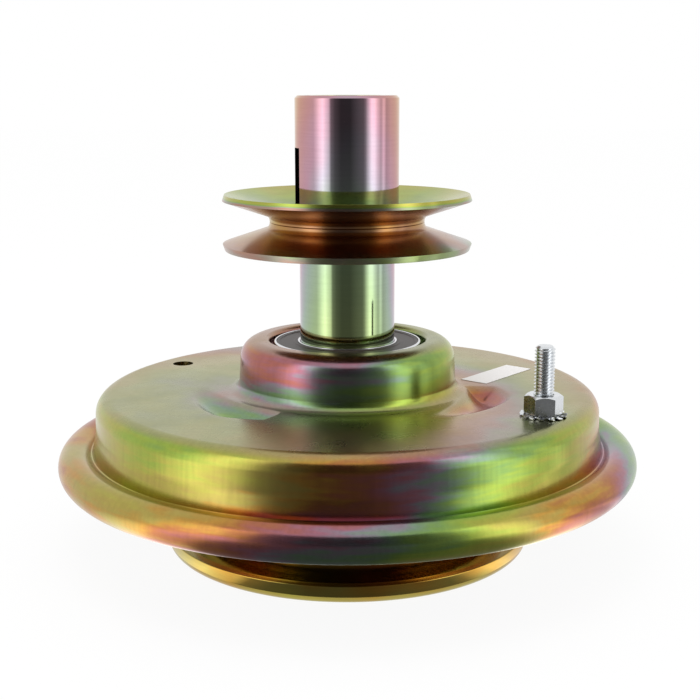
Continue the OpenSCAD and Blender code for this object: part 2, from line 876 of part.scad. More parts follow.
module carrier_boss() {
    color(steel) difference() {
        rotate_extrude() polygon([
            [carrier_eye_r, carrier_sheet],
            [carrier_boss_r, carrier_sheet],
            [carrier_boss_r, boss_top],
            [bearing_r, boss_top],
            [bearing_r, lower_bearing_z],
            [carrier_eye_r, lower_bearing_z]
        ]);
        translate([0, 0, lower_bearing_top_z])
            ring(bearing_r - over, bearing_r + circlip_groove_h, circlip_t);
    }
}

module boss_circlip() {
    color(spring_grey) translate([0, 0, lower_bearing_top_z])
        circlip(bearing_r + circlip_groove_h - circlip_w, bearing_r + circlip_groove_h);
}

module blade_bolt_places() {
    for (side = [-1, 1]) translate([0, side * blade_bolt_r, 0]) children();
}

module blade_carrier() {
    inner_r = carrier_r - carrier_sheet;
    color(zinc_gold) difference() {
        pressed([
            [carrier_eye_r, carrier_sheet, 0],
            [inner_r, carrier_sheet, carrier_bend_r],
            [inner_r, carrier_h, 0]
        ], carrier_sheet);
        blade_bolt_places() translate([0, 0, -over])
            cylinder(d = blade_bolt_d, h = carrier_sheet + 2 * over, $fn = 48);
    }
}

module blade_nuts() {
    color(zinc_white) blade_bolt_places() translate([0, 0, carrier_sheet])
        ring(blade_bolt_d / 2, nut_land_r, nut_land_h);
}

hub_sleeve();
pulley_upper_half();
pulley_lower_half();
spacer_sleeve();
drive_disc();
drive_lining();
hub_circlip();
upper_bearing_inner_ring();
upper_bearing_outer_ring();
upper_bearing_balls();
upper_bearing_cage();
upper_bearing_seals();
lower_bearing_inner_ring();
lower_bearing_outer_ring();
lower_bearing_balls();
lower_bearing_cage();
lower_bearing_seals();
bearing_housing();
guide_pins();
return_spring();
cover_boss();
cover_top();
cover_wall();
cable_stud();
stud_nut();
tooth_washer();
paper_label();
brake_plate();
brake_lining();
ramp_balls();
lift_springs();
clutch_plate();
clutch_spring();
clutch_drum();
carrier_boss();
boss_circlip();
blade_carrier();
blade_nuts();
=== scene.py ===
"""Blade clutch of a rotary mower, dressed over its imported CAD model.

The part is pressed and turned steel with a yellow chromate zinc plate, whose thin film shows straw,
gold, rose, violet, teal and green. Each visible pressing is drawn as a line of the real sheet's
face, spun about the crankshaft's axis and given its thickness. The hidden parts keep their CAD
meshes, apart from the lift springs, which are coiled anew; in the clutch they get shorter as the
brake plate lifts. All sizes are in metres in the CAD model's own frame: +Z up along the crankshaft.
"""

import json
import math

import bpy
from mathutils import Matrix, Vector


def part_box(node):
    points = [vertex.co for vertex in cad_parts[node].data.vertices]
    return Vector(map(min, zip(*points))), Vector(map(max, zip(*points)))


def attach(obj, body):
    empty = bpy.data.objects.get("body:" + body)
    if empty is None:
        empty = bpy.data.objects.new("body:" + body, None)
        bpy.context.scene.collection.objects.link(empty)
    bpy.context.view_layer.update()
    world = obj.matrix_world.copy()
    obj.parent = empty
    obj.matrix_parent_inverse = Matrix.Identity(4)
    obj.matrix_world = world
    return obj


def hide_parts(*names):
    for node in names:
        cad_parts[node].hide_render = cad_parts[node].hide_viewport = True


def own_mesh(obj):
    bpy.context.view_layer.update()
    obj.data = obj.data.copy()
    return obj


bl_info = {
    "name": "Blade clutch",
    "version": (1, 0, 0),
    "blender": (4, 5, 0),
    "location": "3D View > Sidebar > Blade clutch",
    "description": "Models the visible pieces of a mower's blade clutch and sets up its studio",
    "category": "Object",
}

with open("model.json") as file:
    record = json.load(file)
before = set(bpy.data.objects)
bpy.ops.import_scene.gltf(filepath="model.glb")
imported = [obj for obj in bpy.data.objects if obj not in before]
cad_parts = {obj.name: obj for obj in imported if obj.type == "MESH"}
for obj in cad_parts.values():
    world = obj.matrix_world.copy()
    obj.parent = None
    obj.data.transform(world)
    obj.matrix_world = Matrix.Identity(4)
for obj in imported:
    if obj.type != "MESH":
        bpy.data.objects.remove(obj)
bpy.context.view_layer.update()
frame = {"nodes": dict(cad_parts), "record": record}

MM = 0.001
FULL_TURN = 2 * math.pi
# Points closer together than this become one
WELD = 0.001 * MM

# Heights and radii that the CAD model fixes, read from its nodes so that the two always agree
HUB_LOW, HUB_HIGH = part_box("hub_sleeve")
LABEL_LOW, LABEL_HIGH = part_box("paper_label")
PLATE_Z = LABEL_LOW.z
BOSS_TOP_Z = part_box("cover_boss")[1].z
RIM_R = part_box("cover_wall")[1].x
RIM_FOOT_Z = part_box("cover_wall")[0].z
PULLEY_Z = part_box("pulley_upper_half")[0].z
PULLEY_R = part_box("pulley_upper_half")[1].x
BEARING_FOOT_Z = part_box("upper_bearing_outer_ring")[0].z
BEARING_TOP_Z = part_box("upper_bearing_outer_ring")[1].z
BEARING_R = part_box("upper_bearing_outer_ring")[1].x
CARRIER_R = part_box("blade_carrier")[1].x
CARRIER_TOP_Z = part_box("blade_carrier")[1].z
STUD_LOW, STUD_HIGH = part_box("cable_stud")
STUD_AT = (STUD_LOW + STUD_HIGH) / 2
NUT_LOW, NUT_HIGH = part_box("stud_nut")
WASHER_LOW, WASHER_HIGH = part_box("tooth_washer")


# Sizes and colours


def linear(hex_colour):
    """An sRGB hex colour as the linear RGBA that Blender's sockets take."""
    parts = [int(hex_colour[i : i + 2], 16) / 255 for i in (1, 3, 5)]
    return (*[c / 12.92 if c <= 0.04045 else ((c + 0.055) / 1.055) ** 2.4 for c in parts], 1.0)


def length(name, description, default):
    """A size in metres that a user can change."""
    return bpy.props.FloatProperty(
        name=name, description=description, default=default, unit="LENGTH"
    )


def direction(name, description, degrees):
    """A direction or slant that a user can change, with its default in degrees."""
    return bpy.props.FloatProperty(
        name=name, description=description, default=math.radians(degrees), subtype="ANGLE"
    )


def colour(name, description, hex_colour):
    """A colour that a user can change, with its default as sRGB hex."""
    return bpy.props.FloatVectorProperty(
        name=name, description=description, default=linear(hex_colour), size=4, subtype="COLOR"
    )


class ClutchCoverSizes(bpy.types.PropertyGroup):
    """Sizes of the pressed cover, its ramp pockets and its rolled rim"""

    sheet: length("Sheet", "Thickness of the cover's sheet", 2 * MM)
    eye_r: length("Eye", "Radius of the hole in the boss", 24.8 * MM)
    eye_foot_z: length(
        "Collar foot",
        "Height of the lower end of the collar inside the boss",
        BEARING_FOOT_Z - 0.9 * MM,
    )
    lip_r: length("Lip", "Radius that turns the boss's top into its hole", 1.5 * MM)
    boss_r: length("Boss", "Radius of the boss halfway up", 34.3 * MM)
    boss_draft: length(
        "Boss draft", "How far the boss widens from halfway to its foot", 0.5 * MM
    )
    boss_edge_r: length("Boss edge", "Radius round the top of the boss", 6 * MM)
    boss_foot_r: length("Boss foot", "Radius at the foot of the boss", 3.4 * MM)
    wall_r: length("Wall", "Radius of the wall at its shoulder", 79.7 * MM)
    wall_lean: length("Wall lean", "How far the wall widens to where its foot flares", 0.4 * MM)
    wall_flare_h: length("Wall flare", "Height over which the wall's foot flares out", 7 * MM)
    wall_flare_r: length("Flare bend", "Radius of the bend where the wall flares", 12 * MM)
    foot_room: length(
        "Foot room", "Depth of the valley between the wall and the rolled rim", 0.95 * MM
    )
    shoulder_r: length("Shoulder", "Radius between the flat top and the wall", 5.2 * MM)
    bead_r: length("Rolled rim", "Radius of the rolled rim's section", 5.65 * MM)
    bead_foot_r: length("Rim foot", "Radius where the wall meets the rolled rim", 0.45 * MM)
    hole_r: length("Hole", "Radius of the plain hole in the flat top", 3.5 * MM)
    hole_at: length("Hole distance", "Distance of the plain hole from the axis", 67 * MM)
    hole_turn: direction("Hole direction", "Direction of the plain hole", 149)
    stud_hole_r: length("Stud hole", "Radius of the hole that the stud goes through", 3.1 * MM)
    track_r: length("Track", "Radius of the track that the ramp pockets follow", 45.8 * MM)
    ramp_depth: length("Ramp depth", "Depth of a ramp pocket at its deep end", 4.6 * MM)
    ramp_length: length("Ramp length", "Length of a ramp pocket along the track", 38 * MM)
    ramp_groove_r: length(
        "Ramp groove", "Radius of a ramp pocket's section at its floor", 6.6 * MM
    )
    ramp_end: length(
        "Ramp end",
        "Distance from a pocket's middle to the upper edge of its slanted end wall",
        12.4 * MM,
    )
    ramp_end_turn: direction("Ramp end turn", "Slant of the end wall off the track", 66)
    ramp_end_slope: bpy.props.FloatProperty(
        name="Ramp end slope",
        description="Rise of the slanted end wall for each metre outwards",
        default=0.65,
    )
    ramp_edge: length("Ramp edge", "Softness of the pressed edges round a pocket", 0.4 * MM)
    ramp_turns: bpy.props.FloatVectorProperty(
        name="Ramp directions",
        description="Directions of the three pockets' middles",
        default=(math.radians(327), math.radians(207), math.radians(87)),
        unit="ROTATION",
    )


class ClutchTurnedSizes(bpy.types.PropertyGroup):
    """Sizes of the hub, the belt pulley, the bearing, the blade carrier and the lift springs"""

    seat_r: length("Bearing seat", "Radius of the hub below the pulley", 15 * MM)
    collar_r: length("Collar", "Radius of the hub above the pulley", 16.2 * MM)
    bore_r: length("Bore", "Radius of the crankshaft bore", 11.1 * MM)
    keyway_w: length("Keyway width", "Width of the keyway in the bore", 4.8 * MM)
    keyway_h: length("Keyway depth", "Depth of the keyway below the bore", 2 * MM)
    slot_w: length("Slot width", "Width of the key slot through the collar", 6 * MM)
    slot_low_z: length("Slot foot", "Height of the key slot's lower end", 108.8 * MM)
    slot_high_z: length("Slot top", "Height of the key slot's upper end", 126.7 * MM)
    slot_turn: direction("Slot direction", "Direction of the key slot", 195)
    chamfer: length("Chamfer", "Chamfer at both ends of the hub", 0.8 * MM)
    edge: length("Edge", "Radius that tumbling and plating leave on turned edges", 0.2 * MM)
    pulley_sheet: length("Pulley sheet", "Thickness of the pulley's sheet", 2 * MM)
    pulley_edge: length("Pulley edge", "Round at the edges of the pulley's sheet", 0.75 * MM)
    groove_r: length("Groove floor", "Radius of the groove's floor", 24.3 * MM)
    groove_half: length("Groove half", "Half of the groove's opening", 6.7 * MM)
    floor_half: length("Floor half", "Half of the groove's width at its floor", 1.7 * MM)
    carrier_sheet: length("Carrier sheet", "Thickness of the blade carrier's sheet", 2.8 * MM)
    carrier_edge: length("Carrier edge", "Round at the edges of the carrier's sheet", 0.35 * MM)
    carrier_eye_r: length("Carrier eye", "Radius of the hole in the blade carrier", 21 * MM)
    blade_bolt_r: length("Blade bolts", "Distance of the blade bolts from the axis", 41 * MM)
    blade_bolt_hole_r: length("Bolt holes", "Radius of the blade bolts' holes", 4 * MM)
    spring_wire_r: length("Spring wire", "Radius of the lift springs' wire", 0.5 * MM)
    spring_coil_r: length("Spring coil", "Radius of the lift springs' coils", 2.3 * MM)
    spring_turns: bpy.props.IntProperty(
        name="Spring turns", description="Turns of each lift spring", default=4, min=1
    )
    steps: bpy.props.IntProperty(
        name="Spin steps",
        description="Steps of every turned piece round the axis",
        default=180,
        min=24,
    )


class ClutchStudSizes(bpy.types.PropertyGroup):
    """Sizes of the threaded stud, its nut, its toothed washer and the label"""

    thread_r: length("Thread", "Outer radius of the stud's thread", 3 * MM)
    root_r: length("Thread root", "Radius at the root of the stud's thread", 2.45 * MM)
    pitch: length("Pitch", "Pitch of the stud's thread", 1 * MM)
    nut_flat_r: length("Nut flats", "Distance of the nut's flats from its axis", 5 * MM)
    turn: direction("Direction", "Direction of the stud from the axis", -33)
    washer_r: length("Washer", "Radius over the washer's teeth", 7 * MM)
    washer_teeth: bpy.props.IntProperty(
        name="Washer teeth", description="Number of twisted teeth", default=14, min=3
    )
    label_length: length("Label length", "Length of the paper label", 28 * MM)
    label_width: length("Label width", "Width of the paper label", 9.8 * MM)
    label_turn: direction("Label turn", "Turn of the label on the flat top", 51)


class ClutchColours(bpy.types.PropertyGroup):
    """Colours of the finishes"""

    cover_haze: colour("Cover haze", "Khaki of the chromate film on the cover", "#9c8c70")
    pulley_haze: colour("Pulley haze", "Gold of the chromate film on the pulley", "#a8a05c")
    hub_haze: colour("Hub haze", "Rose of the chromate film on the turned hub", "#c0b8bc")
    white_zinc: colour("White zinc", "Clear zinc of the stud, nut and washer", "#d9dcdf")
    steel: colour("Steel", "Ground steel of the inner pieces", "#c3c5c8")
    # The upper bearing's dark grey is partly grease and partly painted shade of the boss's recess that
    # its rings sit in
    bearing_steel: colour("Bearing steel", "Greased steel of the bearing's rings", "#625f5c")
    rubber: colour("Seal rubber", "Nitrile rubber of the bearing's seals", "#4a423d")
    paper: colour("Label paper", "Coated paper of the label", "#efeceb")
    lining: colour("Friction lining", "Moulded lining, nearly black", "#35302c")
    floor: colour("Floor", "Plain pale floor", "#fafafa")


class ClutchSettings(bpy.types.PropertyGroup):
    """All settings of the blade clutch"""

    cover: bpy.props.PointerProperty(type=ClutchCoverSizes)
    turned: bpy.props.PointerProperty(type=ClutchTurnedSizes)
    stud: bpy.props.PointerProperty(type=ClutchStudSizes)
    colours: bpy.props.PointerProperty(type=ClutchColours)


# Modelling by hand: lines, spins, sheets and cuts


def leave_edit():
    bpy.ops.object.mode_set(mode="OBJECT")


def deselect_all():
    """Leaves object mode with nothing selected, since an operator acts on all that is."""
    if bpy.context.object and bpy.context.object.mode != "OBJECT":
        leave_edit()
    bpy.ops.object.select_all(action="DESELECT")


def pick(obj):
    """Selects one object alone and makes it the active one."""
    deselect_all()
    bpy.context.view_layer.objects.active = obj
    obj.select_set(True)


def edit(obj):
    """Opens one object in edit mode with all of its mesh selected."""
    pick(obj)
    bpy.ops.object.mode_set(mode="EDIT")
    bpy.ops.mesh.select_all(action="SELECT")


def move(obj, by):
    """Moves a piece's mesh, while its object stays at the origin."""
    edit(obj)
    bpy.ops.transform.translate(value=by)
    leave_edit()


def rounded(corners, step=math.radians(9)):
    """The points of a line through corners given as (r, z, bend radius), with its bends drawn."""
    points = []
    for i, (r, z, bend) in enumerate(corners):
        here = Vector((r, z))
        if i in (0, len(corners) - 1) or bend <= 0:
            points.append(here)
            continue
        to_last = (Vector(corners[i - 1][:2]) - here).normalized()
        to_next = (Vector(corners[i + 1][:2]) - here).normalized()
        half = to_last.angle(to_next) / 2
        centre = here + (to_last + to_next).normalized() * bend / math.sin(half)
        start = here + to_last * bend / math.tan(half) - centre
        sweep = start.angle_signed(here + to_next * bend / math.tan(half) - centre)
        count = max(2, math.ceil(abs(sweep) / step))
        for k in range(count + 1):
            turned = start.copy()
            turned.rotate(Matrix.Rotation(-sweep * k / count, 2))
            points.append(centre + turned)
    return points


def draw_line(name, points, closed=False):
    """A line in the XZ plane, drawn point by point by extruding one vertex, left in edit mode."""
    deselect_all()
    bpy.ops.mesh.primitive_plane_add(size=MM, location=(0, 0, 0))
    obj = bpy.context.object
    obj.name = obj.data.name = name
    bpy.ops.object.mode_set(mode="EDIT")
    bpy.ops.mesh.select_all(action="SELECT")
    bpy.ops.mesh.merge(type="CENTER")
    bpy.ops.transform.translate(value=(points[0][0], 0, points[0][1]))
    for last, here in zip(points, points[1:]):
        step = (here[0] - last[0], 0, here[1] - last[1])
        bpy.ops.mesh.extrude_region_move(TRANSFORM_OT_translate={"value": step})
    if closed:
        # The line's two ends, found by their places, get the last edge between them
        ends = [Vector((p[0], 0, p[1])) for p in (points[0], points[-1])]
        bpy.ops.mesh.select_mode(type="VERT")
        bpy.ops.mesh.select_all(action="DESELECT")
        leave_edit()
        for v in obj.data.vertices:
            v.select = min((v.co - e).length for e in ends) < WELD / 10
        bpy.ops.object.mode_set(mode="EDIT")
        bpy.ops.mesh.edge_face_add()
    bpy.ops.mesh.select_all(action="SELECT")
    return obj


def spin_round(obj, steps):
    """Spins what is drawn about the crankshaft's axis and closes its seam and poles."""
    bpy.ops.mesh.select_all(action="SELECT")
    bpy.ops.mesh.spin(steps=steps, angle=FULL_TURN, center=(0, 0, 0), axis=(0, 0, 1))
    bpy.ops.mesh.select_all(action="SELECT")
    bpy.ops.mesh.remove_doubles(threshold=WELD)
    bpy.ops.mesh.normals_make_consistent(inside=False)
    leave_edit()


def copy_round(count):
    """In edit mode, copies what is selected round the axis until there are count of it."""
    bpy.ops.mesh.spin(
        steps=count - 1,
        dupli=True,
        angle=FULL_TURN * (count - 1) / count,
        center=(0, 0, 0),
        axis=(0, 0, 1),
    )


def lathe(name, corners, steps):
    """A solid turned about the axis from a closed section of (r, z, edge radius) corners."""
    ring = [corners[-1], *corners, corners[0]]
    points = rounded(ring, math.radians(30))[1:-1]
    obj = draw_line(name, points, closed=True)
    spin_round(obj, steps)
    return obj


def apply_modifier(obj, kind, **settings):
    """Adds one modifier with its settings and applies it."""
    pick(obj)
    modifier = obj.modifiers.new(kind.title(), kind)
    for name, value in settings.items():
        setattr(modifier, name, value)
    bpy.ops.object.modifier_apply(modifier=modifier.name)


def bevel(obj, width, degrees):
    """Rounds the edges that turn by more than an angle."""
    limit = math.radians(degrees)
    apply_modifier(
        obj, "BEVEL", width=width, segments=2, limit_method="ANGLE", angle_limit=limit
    )


def screw_up(obj, pitch, turns, steps):
    """Screws what is drawn up along Z, caps both ends and stays in edit mode."""
    apply_modifier(
        obj,
        "SCREW",
        axis="Z",
        angle=FULL_TURN,
        screw_offset=pitch,
        iterations=turns,
        steps=steps,
        render_steps=steps,
        use_merge_vertices=False,
    )
    edit(obj)
    bpy.ops.mesh.remove_doubles(threshold=WELD)
    bpy.ops.mesh.fill_holes(sides=0)
    bpy.ops.mesh.select_all(action="SELECT")
    bpy.ops.mesh.normals_make_consistent(inside=False)


def turn_faces(obj, up):
    """Turns a sheet's faces over where that is needed for them to look up, or down, on the whole."""
    lifts = sum(p.normal.z * p.area for p in obj.data.polygons)
    if (lifts > 0) != up:
        edit(obj)
        bpy.ops.mesh.flip_normals()
        leave_edit()


def pressed_sheet(name, corners, thickness, steps, up, edge):
    """A sheet turned about the axis: its line is one face and the thickness lies on the other side.

    up says whether the drawn face looks up on the whole; the cut edges get a small round.
    """
    obj = draw_line(name, rounded(corners))
    spin_round(obj, steps)
    turn_faces(obj, up)
    apply_modifier(obj, "SOLIDIFY", thickness=thickness, offset=-1, use_even_offset=True)
    bevel(obj, edge, 60)
    return obj


def smooth(obj, degrees=35):
    """Smooth shading that keeps real edges, weighted so that flats stay flat in a reflection."""
    pick(obj)
    bpy.ops.object.shade_smooth_by_angle(angle=math.radians(degrees))
    apply_modifier(obj, "WEIGHTED_NORMAL", keep_sharp=True, weight=100)


def bar(name, radius, low_z, high_z, at=(0, 0), vertices=48, turn=0.0):
    """A plain round or sided bar along Z, as a tool for cuts or the start of a piece."""
    deselect_all()
    bpy.ops.mesh.primitive_cylinder_add(
        vertices=vertices,
        radius=radius,
        depth=high_z - low_z,
        location=(at[0], at[1], (low_z + high_z) / 2),
        rotation=(0, 0, turn),
    )
    obj = bpy.context.object
    obj.name = obj.data.name = name
    bpy.ops.object.transform_apply(location=True, rotation=True, scale=True)
    return obj


def block(name, low, high, turn=0.0):
    """A plain block between two corners, turned about the axis."""
    deselect_all()
    bpy.ops.mesh.primitive_cube_add(size=1, location=[(a + b) / 2 for a, b in zip(low, high)])
    obj = bpy.context.object
    obj.name = obj.data.name = name
    bpy.ops.transform.resize(value=[b - a for a, b in zip(low, high)])
    bpy.ops.object.transform_apply(location=True, rotation=True, scale=True)
    edit(obj)
    # With no window transform.rotate turns the other way, so the angle is negative
    bpy.ops.transform.rotate(value=-turn, orient_axis="Z", center_override=(0, 0, 0))
    leave_edit()
    return obj


def cut(obj, tool, operation="DIFFERENCE"):
    """Cuts obj with a tool piece, or keeps what they share, and deletes the tool."""
    apply_modifier(obj, "BOOLEAN", object=tool, operation=operation, solver="EXACT")
    bpy.data.objects.remove(tool, do_unlink=True)


def join(obj, other):
    """Joins the other piece into obj."""
    pick(other)
    obj.select_set(True)
    bpy.context.view_layer.objects.active = obj
    bpy.ops.object.join()


def finish_piece(obj, body, material, slot, *nodes):
    """Gives a finished piece its material, its body and the CAD nodes that it stands for."""
    if not obj.data.polygons:
        raise RuntimeError(f"{obj.name} came out empty")
    obj.data.materials.clear()
    obj.data.materials.append(material)
    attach(obj, body)
    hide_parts(*nodes)


# Materials. A noise of scale 1000 has cells of 1 mm, and one of scale 50 has cells of 20 mm.


def add_node(tree, kind, inputs=None, **settings):
    """Adds a node with its settings; an input takes a value, an output or a node's first output."""
    node = tree.nodes.new(kind)
    for name, value in settings.items():
        setattr(node, name, value)
    for name, value in (inputs or {}).items():
        if isinstance(value, bpy.types.Node):
            value = value.outputs[0]
        if isinstance(value, bpy.types.NodeSocket):
            tree.links.new(value, node.inputs[name])
        else:
            node.inputs[name].default_value = value
    return node


def new_material(name):
    """A material with no nodes yet, and its tree."""
    material = bpy.data.materials.new(name)
    material.use_nodes = True
    material.node_tree.nodes.clear()
    return material, material.node_tree


# Colours that a chromate film passes through as it gets thicker, once round
FILM_TINTS = [
    (0.00, "#a8964a"),
    (0.10, "#b88836"),
    (0.19, "#a9663b"),
    (0.28, "#a25c5a"),
    (0.36, "#9c6479"),
    (0.43, "#867f8d"),
    (0.50, "#73907a"),
    (0.60, "#74994f"),
    (0.72, "#8fa83f"),
    (0.86, "#a8a444"),
]


def film_thickness(tree, place, start, slope, outward, clouds, side=None):
    """The film's thickness at each point, where 1 is one whole round of its colours.

    start is the thickness at the origin, slope its growth per metre along X, Y and Z, outward its
    growth per metre away from the axis, and clouds the (scale, height, squeeze along Z) of its
    unevenness. side adds a step between the two faces of a flared sheet, as (z, slope, step).
    """
    flat = add_node(tree, "ShaderNodeVectorMath", {0: place, 1: (1, 1, 0)}, operation="MULTIPLY")
    radius = add_node(tree, "ShaderNodeVectorMath", {0: flat}, operation="LENGTH").outputs["Value"]
    leaning = add_node(
        tree, "ShaderNodeVectorMath", {0: place, 1: slope}, operation="DOT_PRODUCT"
    ).outputs["Value"]
    # Ten whole rounds more change no colour and keep the thickness above nought
    total = add_node(tree, "ShaderNodeMath", {0: leaning, 1: start + 10}, operation="ADD")
    total = add_node(
        tree, "ShaderNodeMath", {0: radius, 1: outward, 2: total}, operation="MULTIPLY_ADD"
    )
    for scale, height, squeeze in clouds:
        squeezed = add_node(
            tree, "ShaderNodeVectorMath", {0: place, 1: (1, 1, squeeze)}, operation="MULTIPLY"
        )
        cloud = add_node(
            tree,
            "ShaderNodeTexNoise",
            {"Vector": squeezed, "Scale": scale, "Detail": 2.0, "Roughness": 0.45},
        )
        centred = add_node(tree, "ShaderNodeMath", {0: cloud, 1: 0.5}, operation="SUBTRACT")
        total = add_node(
            tree, "ShaderNodeMath", {0: centred, 1: height, 2: total}, operation="MULTIPLY_ADD"
        )
    if side:
        middle, rise, step = side
        axes = add_node(tree, "ShaderNodeSeparateXYZ", {0: place})
        below = add_node(
            tree, "ShaderNodeMath", {0: radius, 1: -rise, 2: middle}, operation="MULTIPLY_ADD"
        )
        above = add_node(tree, "ShaderNodeMath", {0: axes.outputs["Z"], 1: below}, operation="ADD")
        top = add_node(
            tree, "ShaderNodeMapRange", {0: above, 1: -0.4 * MM, 2: 0.4 * MM, 3: 0.0, 4: step}
        )
        total = add_node(tree, "ShaderNodeMath", {0: total, 1: top}, operation="ADD")
    return add_node(tree, "ShaderNodeMath", {0: total}, operation="FRACT")


def at_flats(tree, place, heights, away, near):
    """The value near at the flats of a pressing, which lie at the given heights, and away elsewhere."""
    axes = add_node(tree, "ShaderNodeSeparateXYZ", {0: place})
    value = away
    for height in heights:
        lift = add_node(
            tree, "ShaderNodeMath", {0: axes.outputs["Z"], 1: height}, operation="SUBTRACT"
        )
        off = add_node(tree, "ShaderNodeMath", {0: lift}, operation="ABSOLUTE")
        value = add_node(
            tree,
            "ShaderNodeMapRange",
            {0: off, 1: 0.3 * MM, 2: 2 * MM, 3: near, 4: value},
            interpolation_type="SMOOTHSTEP",
        )
    return value


def chromated_zinc(name, haze, veil, gloss, streaks, grain, shine=1.0, flats=(), **film):
    """Yellow chromate zinc plate: a metal whose thin film tints it in soft bands.

    haze is the colour of the film's cloudiness and veil how much of it hides the tints. veil and
    gloss are each (elsewhere, on the flats), and flats are the heights of the pressing's flats.
    streaks is the (scale, squeeze, height) of the tool marks, grain how much they darken, and
    shine how bright the metal under the film is.
    """
    material, tree = new_material(name)
    place = add_node(tree, "ShaderNodeTexCoord").outputs["Object"]
    tint = add_node(tree, "ShaderNodeValToRGB", {0: film_thickness(tree, place, **film)})
    stops = tint.color_ramp.elements
    stops[0].position, stops[0].color = 0.0, linear(FILM_TINTS[0][1])
    stops[1].position, stops[1].color = 1.0, linear(FILM_TINTS[0][1])
    for position, hex_colour in FILM_TINTS[1:]:
        stops.new(position).color = linear(hex_colour)
    veiled = at_flats(tree, place, flats, *veil)
    hazed = add_node(tree, "ShaderNodeMix", {0: veiled, 6: tint, 7: haze}, data_type="RGBA")

    scale, squeeze, height = streaks
    squeezed = add_node(
        tree, "ShaderNodeVectorMath", {0: place, 1: squeeze}, operation="MULTIPLY"
    )
    marks = add_node(
        tree,
        "ShaderNodeTexNoise",
        {"Vector": squeezed, "Scale": scale, "Detail": 4.0, "Roughness": 0.6},
    )
    shade = add_node(
        tree,
        "ShaderNodeMapRange",
        {0: marks, 1: 0.35, 2: 0.65, 3: shine * (1 - grain), 4: shine * (1 + grain)},
    )
    coloured = add_node(
        tree,
        "ShaderNodeMix",
        {0: 1.0, 6: hazed.outputs[2], 7: shade},
        data_type="RGBA",
        blend_type="MULTIPLY",
    )
    bump = add_node(
        tree, "ShaderNodeBump", {"Height": marks, "Strength": 0.4, "Distance": height}
    )

    # The gloss changes a little over patches of 14 mm
    dull = add_node(tree, "ShaderNodeTexNoise", {"Vector": place, "Scale": 70.0, "Detail": 3.0})
    patches = add_node(tree, "ShaderNodeMapRange", {0: dull, 1: 0.3, 2: 0.7, 3: 0.85, 4: 1.2})
    rough = add_node(
        tree,
        "ShaderNodeMath",
        {0: patches, 1: at_flats(tree, place, flats, *gloss)},
        operation="MULTIPLY",
    )
    shader = add_node(
        tree,
        "ShaderNodeBsdfPrincipled",
        {"Base Color": coloured.outputs[2], "Roughness": rough, "Normal": bump, "Metallic": 1.0},
    )
    add_node(tree, "ShaderNodeOutputMaterial", {0: shader})
    return material


def plain_metal(name, metal_colour, roughness):
    """Bare or clear plated steel, ground or tumbled: one colour and a gloss uneven over 2.5 mm."""
    material, tree = new_material(name)
    place = add_node(tree, "ShaderNodeTexCoord").outputs["Object"]
    grain = add_node(tree, "ShaderNodeTexNoise", {"Vector": place, "Scale": 400.0, "Detail": 3.0})
    rough = add_node(
        tree,
        "ShaderNodeMapRange",
        {0: grain, 1: 0.3, 2: 0.7, 3: roughness * 0.85, 4: roughness * 1.2},
    )
    shader = add_node(
        tree,
        "ShaderNodeBsdfPrincipled",
        {"Base Color": metal_colour, "Roughness": rough, "Metallic": 1.0},
    )
    add_node(tree, "ShaderNodeOutputMaterial", {0: shader})
    return material


def plain_matt(name, matt_colour, roughness, grain_scale=900.0, grain_height=0.02 * MM):
    """Rubber, paper or moulded lining: not metal, with a fine grain, 1.1 mm unless it says else."""
    material, tree = new_material(name)
    place = add_node(tree, "ShaderNodeTexCoord").outputs["Object"]
    grain = add_node(
        tree, "ShaderNodeTexNoise", {"Vector": place, "Scale": grain_scale, "Detail": 3.0}
    )
    bump = add_node(
        tree, "ShaderNodeBump", {"Height": grain, "Strength": 0.4, "Distance": grain_height}
    )
    shader = add_node(
        tree,
        "ShaderNodeBsdfPrincipled",
        {"Base Color": matt_colour, "Roughness": roughness, "Normal": bump},
    )
    add_node(tree, "ShaderNodeOutputMaterial", {0: shader})
    return material


def colours():
    return bpy.context.scene.blade_clutch.colours


def made_once(make, name, *args, **settings):
    """The material of that name, made on its first use."""
    return bpy.data.materials.get(name) or make(name, *args, **settings)


def cover_zinc():
    # Pressed steel with yellow chromate: glossy bands of copper, gold and green on the curved
    # walls, and a duller khaki film on the flat top
    return made_once(
        chromated_zinc,
        "yellow_chromate_zinc_cover",
        colours().cover_haze,
        flats=(PLATE_Z, BOSS_TOP_Z),
        veil=(0.12, 0.62),
        gloss=(0.21, 0.27),
        streaks=(700.0, (1, 1, 0.06), 0.003 * MM),
        grain=0.05,
        start=0.96,
        slope=(8.5, 5.0, -14.0),
        outward=15.35,
        clouds=[(18.0, 0.45, 4.0), (50.0, 0.4, 5.0), (110.0, 0.2, 7.0)],
    )


def pulley_zinc():
    # Pressed steel with yellow chromate: copper in the belt groove, yellow green outside it
    s = bpy.context.scene.blade_clutch.turned
    # The film steps halfway through the sheet, which rises outwards by the flare
    flare = (s.groove_half - s.floor_half) / (PULLEY_R - s.groove_r)
    middle_z = PULLEY_Z + s.floor_half + s.pulley_sheet / 2
    return made_once(
        chromated_zinc,
        "yellow_chromate_zinc_pulley",
        colours().pulley_haze,
        veil=(0.36, 0.36),
        gloss=(0.2, 0.2),
        streaks=(900.0, (0.1, 0.1, 1), 0.001 * MM),
        grain=0.05,
        start=-0.17,
        slope=(2.0, 0.0, 0.0),
        outward=15.0,
        clouds=[(25.0, 0.6, 1.5), (70.0, 0.4, 3.0)],
        side=(s.groove_r * flare - middle_z, flare, 0.42),
    )


